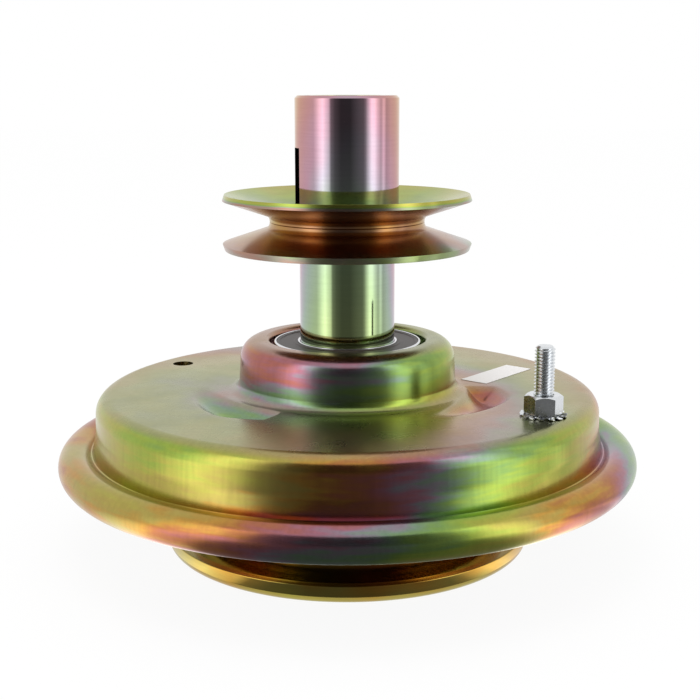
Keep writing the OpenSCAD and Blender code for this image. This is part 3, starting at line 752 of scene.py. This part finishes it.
def hub_zinc():
    # Turned steel with yellow chromate: nearly a mirror, lavender above the pulley, green below it
    return made_once(
        chromated_zinc,
        "yellow_chromate_zinc_hub",
        colours().hub_haze,
        veil=(0.28, 0.28),
        gloss=(0.06, 0.06),
        streaks=(1500.0, (0.05, 0.05, 1), 0.0004 * MM),
        grain=0.03,
        shine=1.25,
        start=0.737,
        slope=(0.0, -21.0, -5.1),
        outward=0.0,
        clouds=[(25.0, 0.2, 1.0), (90.0, 0.08, 1.0)],
    )


def carrier_zinc():
    # Pressed steel with yellow chromate on the blade carrier and its drum: gold and copper
    return made_once(
        chromated_zinc,
        "yellow_chromate_zinc_carrier",
        colours().pulley_haze,
        veil=(0.1, 0.1),
        gloss=(0.15, 0.15),
        streaks=(900.0, (0.1, 0.1, 1), 0.001 * MM),
        grain=0.05,
        start=1.0,
        slope=(-1.0, 0.0, 10.0),
        outward=0.0,
        clouds=[(25.0, 0.5, 2.0), (70.0, 0.25, 2.0)],
    )


def white_zinc():
    # Zinc with a clear passivation, tumbled: bright silver
    return made_once(plain_metal, "clear_zinc", colours().white_zinc, 0.24)


def bearing_steel():
    # Hardened bearing steel, ground: dark grey, partly from grease and partly painted shade of the
    # boss's recess that the rings sit in
    return made_once(plain_metal, "bearing_steel", colours().bearing_steel, 0.4)


def ground_steel():
    # Ground and oiled steel: bright grey
    return made_once(plain_metal, "ground_steel", colours().steel, 0.22)


def seal_rubber():
    # Nitrile rubber, moulded: brown black with a low sheen
    return made_once(plain_matt, "nitrile_rubber", colours().rubber, 0.45)


def label_paper():
    # Coated paper: white and a little glossy
    return made_once(plain_matt, "coated_paper", colours().paper, 0.4)


def friction_lining():
    # Moulded friction lining, with a coarse grain of 2 mm: nearly black and dusty
    return made_once(plain_matt, "moulded_lining", colours().lining, 0.8, 500.0, 0.1 * MM)


# Pieces


def soft_lower(a, b, width):
    """The lower of two heights, with the edge where they meet rounded over a width."""
    return (a + b - math.sqrt((a - b) ** 2 + width**2)) / 2


def soft_higher(a, b, width):
    return -soft_lower(-a, -b, width)


def pocket_height(x, y, turn, s):
    """Height of a ramp pocket's surface at a place on the flat top, above or below that top.

    The groove follows the track and gets deeper; one slanted wall and one across close it.
    """
    off_turn = (math.atan2(y, x) - turn + math.pi) % FULL_TURN - math.pi
    along = off_turn * s.track_r
    out = math.hypot(x, y) - s.track_r
    floor = -s.ramp_depth * (0.5 + min(along / s.ramp_length, 0.5))
    groove = floor + out**2 / (2 * s.ramp_groove_r)
    past = along * math.cos(s.ramp_end_turn) + out * math.sin(s.ramp_end_turn)
    slanted = (past - s.ramp_end) * s.ramp_end_slope
    across = (along - s.ramp_length / 2) * s.ramp_end_slope - s.ramp_depth
    return soft_higher(soft_higher(slanted, across, s.ramp_edge), groove, s.ramp_edge)


class CLUTCH_OT_cover(bpy.types.Operator):
    """Presses the cover: boss, flat top with ramp pockets, wall and rolled rim"""

    bl_idname = "blade_clutch.cover"
    bl_label = "Cover"

    # Where the rolled rim's section begins and ends, in degrees above its outward side
    BEAD_FIRST, BEAD_LAST, BEAD_STEP = 135, -90, 8

    def execute(self, context):
        s = context.scene.blade_clutch.cover
        pocket_end_r = s.track_r + math.sqrt(2 * s.ramp_groove_r * s.ramp_depth) + 2 * MM
        obj = draw_line("cover", self.section(s, pocket_end_r))
        spin_round(obj, 360)
        turn_faces(obj, up=True)
        self.press_pockets(obj, s, pocket_end_r)
        apply_modifier(obj, "SOLIDIFY", thickness=s.sheet, offset=-1, use_even_offset=False)
        reach = 8 * MM
        for radius, distance, turn in (
            (s.hole_r, s.hole_at, s.hole_turn),
            (s.stud_hole_r, math.hypot(STUD_AT.x, STUD_AT.y), math.atan2(STUD_AT.y, STUD_AT.x)),
        ):
            at = (distance * math.cos(turn), distance * math.sin(turn))
            cut(obj, bar("punch", radius, PLATE_Z - reach, PLATE_Z + reach, at))
        smooth(obj, 50)
        nodes = ("cover_boss", "cover_top", "cover_wall")
        finish_piece(obj, "cover", cover_zinc(), "cover_zinc", *nodes)
        return {"FINISHED"}

    def section(self, s, pocket_end_r):
        """The line of the sheet's outer face, with close rings where the pockets lie."""
        bead_at = Vector((RIM_R - s.bead_r, RIM_FOOT_Z + s.bead_r))
        bead_start = bead_at + Vector((-1, 1)) * s.bead_r * math.sqrt(0.5)
        wall_foot = bead_start - Vector((1, 1)) * s.foot_room
        line = rounded(
            [
                (s.eye_r, s.eye_foot_z, 0),
                (s.eye_r, BOSS_TOP_Z, s.lip_r),
                (s.boss_r - s.boss_draft, BOSS_TOP_Z, s.boss_edge_r),
                (s.boss_r + s.boss_draft, PLATE_Z, s.boss_foot_r),
                (s.wall_r, PLATE_Z, s.shoulder_r),
                (s.wall_r + s.wall_lean, wall_foot.y + s.wall_flare_h, s.wall_flare_r),
                (*wall_foot, s.bead_foot_r),
                (*bead_start, 0),
            ],
            math.radians(8),
        )
        flat_r = s.boss_r + s.boss_draft + s.boss_foot_r
        rings = int((pocket_end_r - flat_r) / (0.5 * MM))
        after = next(i for i, p in enumerate(line) if p[0] > flat_r + MM)
        line[after:after] = [
            Vector((flat_r + (pocket_end_r - flat_r) * (i + 1) / rings, PLATE_Z))
            for i in range(rings)
        ]
        for degrees in range(self.BEAD_FIRST - self.BEAD_STEP, self.BEAD_LAST - 1, -self.BEAD_STEP):
            a = math.radians(degrees)
            line.append(bead_at + Vector((math.cos(a), math.sin(a))) * s.bead_r)
        # The sheet's end lies flat under the rim, as long as the bend that starts the roll
        line.append(Vector((bead_at.x - s.bead_r * math.tan(math.radians(22.5)), RIM_FOOT_Z)))
        return line

    def press_pockets(self, obj, s, pocket_end_r):
        """Weighs each point of the flat top by its depth in a pocket and presses it down by that."""
        press = 2 * s.ramp_depth
        pockets = obj.vertex_groups.new(name="ramp_pockets")
        for v in obj.data.vertices:
            r = math.hypot(v.co.x, v.co.y)
            above = v.co.z - PLATE_Z
            if above < -MM or not s.boss_r < r < pocket_end_r + 3 * MM or v.normal.z < 0.3:
                continue
            lift = min(pocket_height(v.co.x, v.co.y, turn, s) for turn in s.ramp_turns)
            depth = above - soft_lower(above, lift, s.ramp_edge)
            if depth > 0.02 * MM:
                pockets.add([v.index], min(1.0, depth / press), "REPLACE")
        apply_modifier(
            obj,
            "DISPLACE",
            vertex_group="ramp_pockets",
            direction="Z",
            strength=-press,
            mid_level=0,
        )
        obj.vertex_groups.clear()


class CLUTCH_OT_pulley(bpy.types.Operator):
    """Presses the two halves of the belt pulley"""

    bl_idname = "blade_clutch.pulley"
    bl_label = "Belt pulley"

    def execute(self, context):
        s = context.scene.blade_clutch.turned
        for name, node, up in (
            ("pulley_upper_pressing", "pulley_upper_half", 1),
            ("pulley_lower_pressing", "pulley_lower_half", -1),
        ):
            corners = [
                (PULLEY_R, PULLEY_Z + up * s.groove_half, 0),
                (s.groove_r, PULLEY_Z + up * s.floor_half, 1.95 * MM),
                (s.groove_r, PULLEY_Z, 0.25 * MM),
                (s.seat_r, PULLEY_Z, 0),
            ]
            obj = pressed_sheet(name, corners, s.pulley_sheet, s.steps, up < 0, s.pulley_edge)
            smooth(obj)
            finish_piece(obj, "hub", pulley_zinc(), "pulley_zinc", node)
        return {"FINISHED"}


class CLUTCH_OT_hub(bpy.types.Operator):
    """Turns the hub, with its bore, keyway, key slot and circlip groove"""

    bl_idname = "blade_clutch.hub"
    bl_label = "Hub"

    def execute(self, context):
        s = context.scene.blade_clutch.turned
        low, high = HUB_LOW.z, HUB_HIGH.z
        step_z = PULLEY_Z + s.pulley_sheet
        clip_low, clip_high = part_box("hub_circlip")
        groove_r = s.seat_r - 0.7 * MM
        obj = lathe(
            "hub_sleeve_turned",
            [
                (s.bore_r, low, s.edge),
                (s.seat_r - s.chamfer, low, s.edge),
                (s.seat_r, low + s.chamfer, s.edge),
                (s.seat_r, clip_low.z, 0),
                (groove_r, clip_low.z, 0),
                (groove_r, clip_high.z, 0),
                (s.seat_r, clip_high.z, 0),
                (s.seat_r, step_z, 0),
                (s.collar_r, step_z, s.edge),
                (s.collar_r, high - s.chamfer, s.edge),
                (s.collar_r - s.chamfer, high, s.edge),
                (s.bore_r, high, s.edge),
            ],
            s.steps,
        )
        for name, width, depth_r, foot, top in (
            ("slot_cutter", s.slot_w, s.collar_r + MM, s.slot_low_z, s.slot_high_z),
            ("keyway_cutter", s.keyway_w, s.bore_r + s.keyway_h, low - MM, high + MM),
        ):
            corners = ((0, -width / 2, foot), (depth_r, width / 2, top))
            cut(obj, block(name, *corners, s.slot_turn))
        smooth(obj, 25)
        finish_piece(obj, "hub", hub_zinc(), "hub_zinc", "hub_sleeve")
        return {"FINISHED"}


class CLUTCH_OT_bearing(bpy.types.Operator):
    """Turns the upper bearing's rings and moulds its seals, the upper of which shows in the boss"""

    bl_idname = "blade_clutch.bearing"
    bl_label = "Upper bearing"

    def execute(self, context):
        s = context.scene.blade_clutch.turned
        foot, top = BEARING_FOOT_Z, BEARING_TOP_Z
        land = 0.85 * MM
        lip, rim = s.seat_r + land + 0.05 * MM, BEARING_R - land
        for name, body, node, corners in (
            (
                "bearing_inner_turned",
                "hub",
                "upper_bearing_inner_ring",
                [
                    (s.seat_r, foot, 0.3 * MM),
                    (s.seat_r + land, foot, s.edge),
                    (s.seat_r + land, top, s.edge),
                    (s.seat_r, top, 0.5 * MM),
                ],
            ),
            (
                "bearing_outer_turned",
                "housing",
                "upper_bearing_outer_ring",
                [
                    (rim, foot, s.edge),
                    (BEARING_R, foot, 0.5 * MM),
                    (BEARING_R, top, 0.6 * MM),
                    (rim, top, s.edge),
                ],
            ),
        ):
            ring = lathe(name, corners, s.steps)
            smooth(ring)
            finish_piece(ring, body, bearing_steel(), "bearing_steel", node)
        for name, z, up in (("upper_seal_top", top, 1), ("upper_seal_foot", foot, -1)):
            face = z - up * 0.3 * MM
            back, dish = face - up * 0.6 * MM, face - up * 0.25 * MM
            seal = lathe(
                name,
                [
                    (lip, back, 0.05 * MM),
                    (rim, back, 0.05 * MM),
                    (rim, face, 0.15 * MM),
                    (rim - 0.9 * MM, face, 0.15 * MM),
                    (rim - 1.1 * MM, dish, 0.1 * MM),
                    (lip + 1.3 * MM, dish, 0.1 * MM),
                    (lip + 1.0 * MM, face, 0.15 * MM),
                    (lip, face, 0.1 * MM),
                ],
                s.steps,
            )
            smooth(seal)
            finish_piece(seal, "housing", seal_rubber(), "seal_rubber", "upper_bearing_seals")
        return {"FINISHED"}


class CLUTCH_OT_carrier(bpy.types.Operator):
    """Presses the dished carrier that the blade bolts under"""

    bl_idname = "blade_clutch.carrier"
    bl_label = "Blade carrier"

    def execute(self, context):
        s = context.scene.blade_clutch.turned
        sheet = s.carrier_sheet
        inner_r = CARRIER_R - sheet
        corners = [
            (s.carrier_eye_r, sheet, 0),
            (inner_r, sheet, 0.4 * MM),
            (inner_r, CARRIER_TOP_Z, 0),
        ]
        obj = pressed_sheet(
            "blade_carrier_pressing", corners, sheet, s.steps, True, s.carrier_edge
        )
        for side in (-1, 1):
            at = (0, side * s.blade_bolt_r)
            cut(obj, bar("drill", s.blade_bolt_hole_r, -MM, sheet + MM, at))
        smooth(obj)
        finish_piece(obj, "carrier", carrier_zinc(), "carrier_zinc", "blade_carrier")
        return {"FINISHED"}


class CLUTCH_OT_stud(bpy.types.Operator):
    """Makes the threaded stud with its nut and toothed washer"""

    bl_idname = "blade_clutch.stud"
    bl_label = "Cable stud"

    def execute(self, context):
        s = context.scene.blade_clutch.stud
        sheet_z = PLATE_Z - context.scene.blade_clutch.cover.sheet
        for obj, node in (
            (self.thread(s, sheet_z), "cable_stud"),
            (self.nut(s), "stud_nut"),
            (self.washer(s), "tooth_washer"),
        ):
            move(obj, (STUD_AT.x, STUD_AT.y, 0))
            finish_piece(obj, "cover", white_zinc(), "white_zinc", node)
        return {"FINISHED"}

    def thread(self, s, sheet_z):
        """A one-start thread, screwed up past both ends and cut to the chamfered bar."""
        foot, top, p = STUD_LOW.z, STUD_HIGH.z, s.pitch
        start = sheet_z - 1.5 * p
        thread = draw_line(
            "cable_stud_threaded",
            [
                (s.root_r, start),
                (s.root_r, start + 0.1 * p),
                (s.thread_r, start + 0.43 * p),
                (s.thread_r, start + 0.57 * p),
                (s.root_r, start + 0.9 * p),
                (s.root_r, start + p),
            ],
        )
        screw_up(thread, p, int((top - start) / p) + 3, 36)
        chamfer_h, chamfer_w = 0.8 * MM, 0.9 * MM
        blank = draw_line(
            "blank",
            [
                (0, sheet_z),
                (s.thread_r, sheet_z),
                (s.thread_r, top - chamfer_h),
                (s.thread_r - chamfer_w, top),
                (0, top),
            ],
        )
        spin_round(blank, 48)
        cut(thread, blank, "INTERSECT")
        head_r, edge = s.thread_r + 2 * MM, 0.4 * MM
        head = draw_line(
            "head",
            [
                (0, foot),
                (head_r - edge, foot),
                (head_r, foot + edge),
                (head_r, sheet_z),
                (0, sheet_z),
            ],
        )
        spin_round(head, 48)
        join(thread, head)
        smooth(thread, 30)
        return thread

    def nut(self, s):
        """A hexagon bar cut to the chamfered cone of a standard nut."""
        foot, top = NUT_LOW.z, NUT_HIGH.z
        corner_r = s.nut_flat_r / math.cos(math.radians(30))
        rise = (corner_r - s.nut_flat_r) * 0.9
        nut = bar("stud_nut_hexagon", corner_r, foot, top, vertices=6, turn=s.turn)
        cone = draw_line(
            "cone",
            [
                (0, foot),
                (corner_r - 0.35 * MM, foot),
                (corner_r, foot + 0.2 * MM),
                (corner_r, top - rise),
                (s.nut_flat_r - 0.2 * MM, top),
                (0, top),
            ],
        )
        spin_round(cone, 72)
        cut(nut, cone, "INTERSECT")
        cut(nut, bar("tap", s.thread_r + 0.04 * MM, foot - MM, top + MM))
        bevel(nut, 0.18 * MM, 25)
        smooth(nut)
        return nut

    def washer(self, s):
        """A ring, and one twisted tooth that is copied round it."""
        middle, half = (WASHER_LOW.z + WASHER_HIGH.z) / 2, 0.25 * MM
        eye_r, ring_r = s.thread_r + 0.2 * MM, s.washer_r - 1.7 * MM
        edge, tooth_half_w, twist = 0.05 * MM, 0.75 * MM, math.radians(15)
        ring = lathe(
            "tooth_washer_twisted",
            [
                (eye_r, middle - half, edge),
                (ring_r, middle - half, edge),
                (ring_r, middle + half, edge),
                (eye_r, middle + half, edge),
            ],
            72,
        )
        tooth = block(
            "tooth",
            (ring_r - 0.3 * MM, -tooth_half_w, -half),
            (s.washer_r - edge, tooth_half_w, half),
        )
        edit(tooth)
        bpy.ops.transform.rotate(value=twist, orient_axis="X", center_override=(0, 0, 0))
        bpy.ops.transform.translate(value=(0, 0, middle))
        copy_round(s.washer_teeth)
        join(ring, tooth)
        bevel(ring, 0.06 * MM, 50)
        smooth(ring)
        return ring


class CLUTCH_OT_label(bpy.types.Operator):
    """Lays the blank paper label on the flat top"""

    bl_idname = "blade_clutch.label"
    bl_label = "Label"

    def execute(self, context):
        s = context.scene.blade_clutch.stud
        middle = (LABEL_LOW + LABEL_HIGH) / 2
        half = Vector((s.label_length, s.label_width, LABEL_HIGH.z - PLATE_Z)) / 2
        obj = block("paper_label_blank", -half, half, s.label_turn)
        move(obj, (middle.x, middle.y, PLATE_Z + half.z))
        bevel(obj, 0.05 * MM, 30)
        smooth(obj)
        finish_piece(obj, "cover", label_paper(), "label_paper", "paper_label")
        return {"FINISHED"}


class CLUTCH_OT_lift_springs(bpy.types.Operator):
    """Coils the three springs under the housing at the CAD model's length; in the clutch they get
    shorter as the brake plate lifts
    """

    bl_idname = "blade_clutch.lift_springs"
    bl_label = "Lift springs"

    def execute(self, context):
        s = context.scene.blade_clutch.turned
        low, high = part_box("lift_springs")
        wire_r, coil_r, turns = s.spring_wire_r, s.spring_coil_r, s.spring_turns
        sides = [FULL_TURN * k / 8 for k in range(8)]
        section = [
            (coil_r + wire_r * math.cos(a), low.z + wire_r + wire_r * math.sin(a)) for a in sides
        ]
        obj = draw_line("lift_springs_coiled", section, closed=True)
        screw_up(obj, (high.z - low.z - 2 * wire_r) / turns, turns, 24)
        bpy.ops.transform.translate(value=(0, high.y - coil_r - wire_r, 0))
        copy_round(3)
        leave_edit()
        smooth(obj, 50)
        finish_piece(obj, "housing", ground_steel(), "spring_steel", "lift_springs")
        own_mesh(obj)
        return {"FINISHED"}


class CLUTCH_OT_inner_finishes(bpy.types.Operator):
    """Gives the inner pieces, which keep their CAD meshes, their finishes"""

    bl_idname = "blade_clutch.inner_finishes"
    bl_label = "Inner finishes"

    def execute(self, context):
        # The cages lie behind the seals and share the other inner pieces' steel
        by_slot = {
            "carrier_zinc": carrier_zinc,
            "white_zinc": white_zinc,
            "turned_steel": ground_steel,
            "pressed_steel": ground_steel,
            "bearing_steel": ground_steel,
            "spring_steel": ground_steel,
            "cage_brass": ground_steel,
            "seal_rubber": seal_rubber,
            "friction_lining": friction_lining,
        }
        slots = {s["node"]: s["material_slot"] for s in frame["record"]["subparts"]}
        for name, obj in frame["nodes"].items():
            if slots[name] in by_slot and not obj.hide_render:
                obj.data.materials.clear()
                obj.data.materials.append(by_slot[slots[name]]())
        return {"FINISHED"}


# Stage


class CLUTCH_OT_studio(bpy.types.Operator):
    """Sets the pale floor, the white surroundings, the lamp, the lit card and the camera"""

    bl_idname = "blade_clutch.studio"
    bl_label = "Studio"

    # Light of the card by direction, in degrees from straight ahead, where 1 is white
    CARD_LIGHT = [
        (-110, 1.0), (110, 1.0), (-78, 1.0), (-70, 1.4), (-62, 2.0), (-54, 2.4),
        (-47, 1.8), (-40, 1.3), (-35, 0.3), (-26, 0.12), (-13, 0.05), (7, 0.05),
        (20, 0.12), (36, 0.2), (41, 0.4), (48, 1.3), (55, 2.3), (62, 2.3),
        (70, 1.5), (79, 0.9), (87, 1.5), (95, 0.8),
    ]  # fmt: skip
    # Distances of the card's near and far side from the axis, its height and its lift off the floor
    CARD_NEAR, CARD_FAR, CARD_TOP, CARD_LIFT = 0.06, 1.0, 1.2, 0.3 * MM

    # The camera was fitted to the circles of the photo's hub, pulley, boss, flat top and rim
    CAMERA_AT = (0.94 * MM, -397.5 * MM, 145.4 * MM)
    CAMERA_DIP, CAMERA_ROLL = 11.79, 0.07
    CAMERA_LENS, CAMERA_SENSOR = 65.16, 36

    def execute(self, context):
        self.floor(context)
        self.world(context)
        self.lamp(context)
        self.card()
        self.camera(context)
        return {"FINISHED"}

    def floor(self, context):
        deselect_all()
        bpy.ops.mesh.primitive_plane_add(size=8, location=(0, 0, 0))
        obj = context.object
        obj.name = obj.data.name = "floor"
        move(obj, (0, 0, -0.02 * MM))
        material, tree = new_material("white_paper_floor")
        # Where the camera, a metal or a glass looks, the floor is white by its own light, but for a
        # twelfth that is paper and keeps the shadow. Light that falls on things sees only paper.
        path = add_node(tree, "ShaderNodeLightPath")
        seen = add_node(
            tree,
            "ShaderNodeMath",
            {0: path.outputs["Is Camera Ray"], 1: path.outputs["Is Glossy Ray"]},
            operation="MAXIMUM",
        )
        seen = add_node(
            tree,
            "ShaderNodeMath",
            {0: seen, 1: path.outputs["Is Transmission Ray"]},
            operation="MAXIMUM",
        )
        share = add_node(tree, "ShaderNodeMath", {0: seen, 1: 0.92}, operation="MULTIPLY")
        paper = add_node(tree, "ShaderNodeBsdfDiffuse", {"Color": colours().floor})
        glow = add_node(tree, "ShaderNodeEmission", {"Color": (1, 1, 1, 1), "Strength": 1.0})
        mixed = add_node(tree, "ShaderNodeMixShader", {0: share, 1: paper, 2: glow})
        add_node(tree, "ShaderNodeOutputMaterial", {0: mixed})
        obj.data.materials.append(material)

    def world(self, context):
        """White on all sides, at the strength that a white surface shows."""
        world = bpy.data.worlds.new("studio_world")
        context.scene.world = world
        world.use_nodes = True
        tree = world.node_tree
        tree.nodes.clear()
        light = add_node(tree, "ShaderNodeBackground", {"Color": (1, 1, 1, 1), "Strength": 1.0})
        add_node(tree, "ShaderNodeOutputWorld", {0: light})

    def lamp(self, context):
        """One broad soft lamp overhead, which gives the floor its faint shadow."""
        deselect_all()
        bpy.ops.object.light_add(type="AREA", location=(-0.1, -0.1, 0.9))
        lamp = context.object
        lamp.name = lamp.data.name = "overhead_lamp"
        lamp.data.shape = "DISK"
        lamp.data.size = 0.5
        lamp.data.energy = 1.5
        lamp.rotation_mode = "QUATERNION"
        lamp.rotation_quaternion = lamp.location.to_track_quat("Z", "Y")
        lamp.visible_camera = False
        lamp.visible_glossy = False

    def card(self):
        """A card bent round the front of the object, which only reflections see.

        It is black in front of the object, bright at both sides of that, and fades to white.
        """
        wide = math.radians(max(degrees for degrees, _ in self.CARD_LIGHT))
        card = draw_line(
            "reflection_card",
            [
                (self.CARD_NEAR, self.CARD_LIFT),
                (self.CARD_FAR, self.CARD_LIFT),
                (self.CARD_FAR, self.CARD_TOP),
            ],
        )
        # From its first side, with straight ahead at -Y, the line is spun to the other side
        first = -(math.radians(270) + wide)
        bpy.ops.transform.rotate(value=first, orient_axis="Z", center_override=(0, 0, 0))
        bpy.ops.mesh.spin(steps=120, angle=2 * wide, center=(0, 0, 0), axis=(0, 0, 1))
        leave_edit()
        material, tree = new_material("lit_and_black_card")
        place = add_node(tree, "ShaderNodeTexCoord").outputs["Object"]
        axes = add_node(tree, "ShaderNodeSeparateXYZ", {0: place})
        ahead = add_node(
            tree, "ShaderNodeMath", {0: axes.outputs["Y"], 1: -1.0}, operation="MULTIPLY"
        )
        turn = add_node(
            tree, "ShaderNodeMath", {0: axes.outputs["X"], 1: ahead}, operation="ARCTAN2"
        )
        along = add_node(tree, "ShaderNodeMapRange", {0: turn, 1: -wide, 2: wide, 3: 0.0, 4: 1.0})
        ramp = add_node(tree, "ShaderNodeValToRGB", {0: along})
        brightest = max(level for _, level in self.CARD_LIGHT)
        stops = ramp.color_ramp.elements
        for i, (degrees, level) in enumerate(self.CARD_LIGHT):
            position = 0.5 + math.radians(degrees) / (2 * wide)
            stop = stops[i] if i < 2 else stops.new(position)
            stop.position = position
            stop.color = (*[level / brightest] * 3, 1.0)
        # Where it lies on the floor the card is a little evener than where it stands
        lying = add_node(
            tree, "ShaderNodeMapRange", {0: axes.outputs["Z"], 1: 0.0, 2: 0.1, 3: 0.08, 4: 0.0}
        )
        grey = (0.33, 0.33, 0.33, 1.0)
        evened = add_node(tree, "ShaderNodeMix", {0: lying, 6: ramp, 7: grey}, data_type="RGBA")
        shade = add_node(
            tree, "ShaderNodeEmission", {"Color": evened.outputs[2], "Strength": brightest}
        )
        add_node(tree, "ShaderNodeOutputMaterial", {0: shade})
        card.data.materials.append(material)
        card.visible_camera = False
        card.visible_diffuse = False
        card.visible_shadow = False
        card.visible_transmission = False

    def camera(self, context):
        deselect_all()
        turn = (math.radians(90 - self.CAMERA_DIP), math.radians(self.CAMERA_ROLL), 0)
        bpy.ops.object.camera_add(location=self.CAMERA_AT, rotation=turn)
        camera = context.object
        camera.data.sensor_width = self.CAMERA_SENSOR
        camera.data.lens = self.CAMERA_LENS
        camera.data.clip_start = 0.01
        context.scene.camera = camera
        context.scene.view_settings.view_transform = "Standard"


class CLUTCH_PT_panel(bpy.types.Panel):
    """Lists the pieces and their settings"""

    bl_idname = "CLUTCH_PT_panel"
    bl_label = "Blade clutch"
    bl_space_type = "VIEW_3D"
    bl_region_type = "UI"
    bl_category = "Blade clutch"

    def draw(self, context):
        settings = context.scene.blade_clutch
        for group in (settings.cover, settings.turned, settings.stud, settings.colours):
            box = self.layout.box()
            for name in group.__annotations__:
                box.prop(group, name)
        for operator in OPERATORS:
            self.layout.operator(operator.bl_idname)


GROUPS = (ClutchCoverSizes, ClutchTurnedSizes, ClutchStudSizes, ClutchColours, ClutchSettings)
OPERATORS = (
    CLUTCH_OT_cover,
    CLUTCH_OT_pulley,
    CLUTCH_OT_hub,
    CLUTCH_OT_bearing,
    CLUTCH_OT_carrier,
    CLUTCH_OT_stud,
    CLUTCH_OT_label,
    CLUTCH_OT_lift_springs,
    CLUTCH_OT_inner_finishes,
    CLUTCH_OT_studio,
)


def register():
    for item in (*GROUPS, *OPERATORS, CLUTCH_PT_panel):
        bpy.utils.register_class(item)
    bpy.types.Scene.blade_clutch = bpy.props.PointerProperty(type=ClutchSettings)


def unregister():
    del bpy.types.Scene.blade_clutch
    for item in reversed((*GROUPS, *OPERATORS, CLUTCH_PT_panel)):
        bpy.utils.unregister_class(item)


def main():
    """Builds every piece and the stage."""
    register()
    bpy.ops.blade_clutch.cover()
    bpy.ops.blade_clutch.pulley()
    bpy.ops.blade_clutch.hub()
    bpy.ops.blade_clutch.bearing()
    bpy.ops.blade_clutch.carrier()
    bpy.ops.blade_clutch.stud()
    bpy.ops.blade_clutch.label()
    bpy.ops.blade_clutch.lift_springs()
    bpy.ops.blade_clutch.inner_finishes()
    bpy.ops.blade_clutch.studio()


if __name__ == "__main__":
    main()
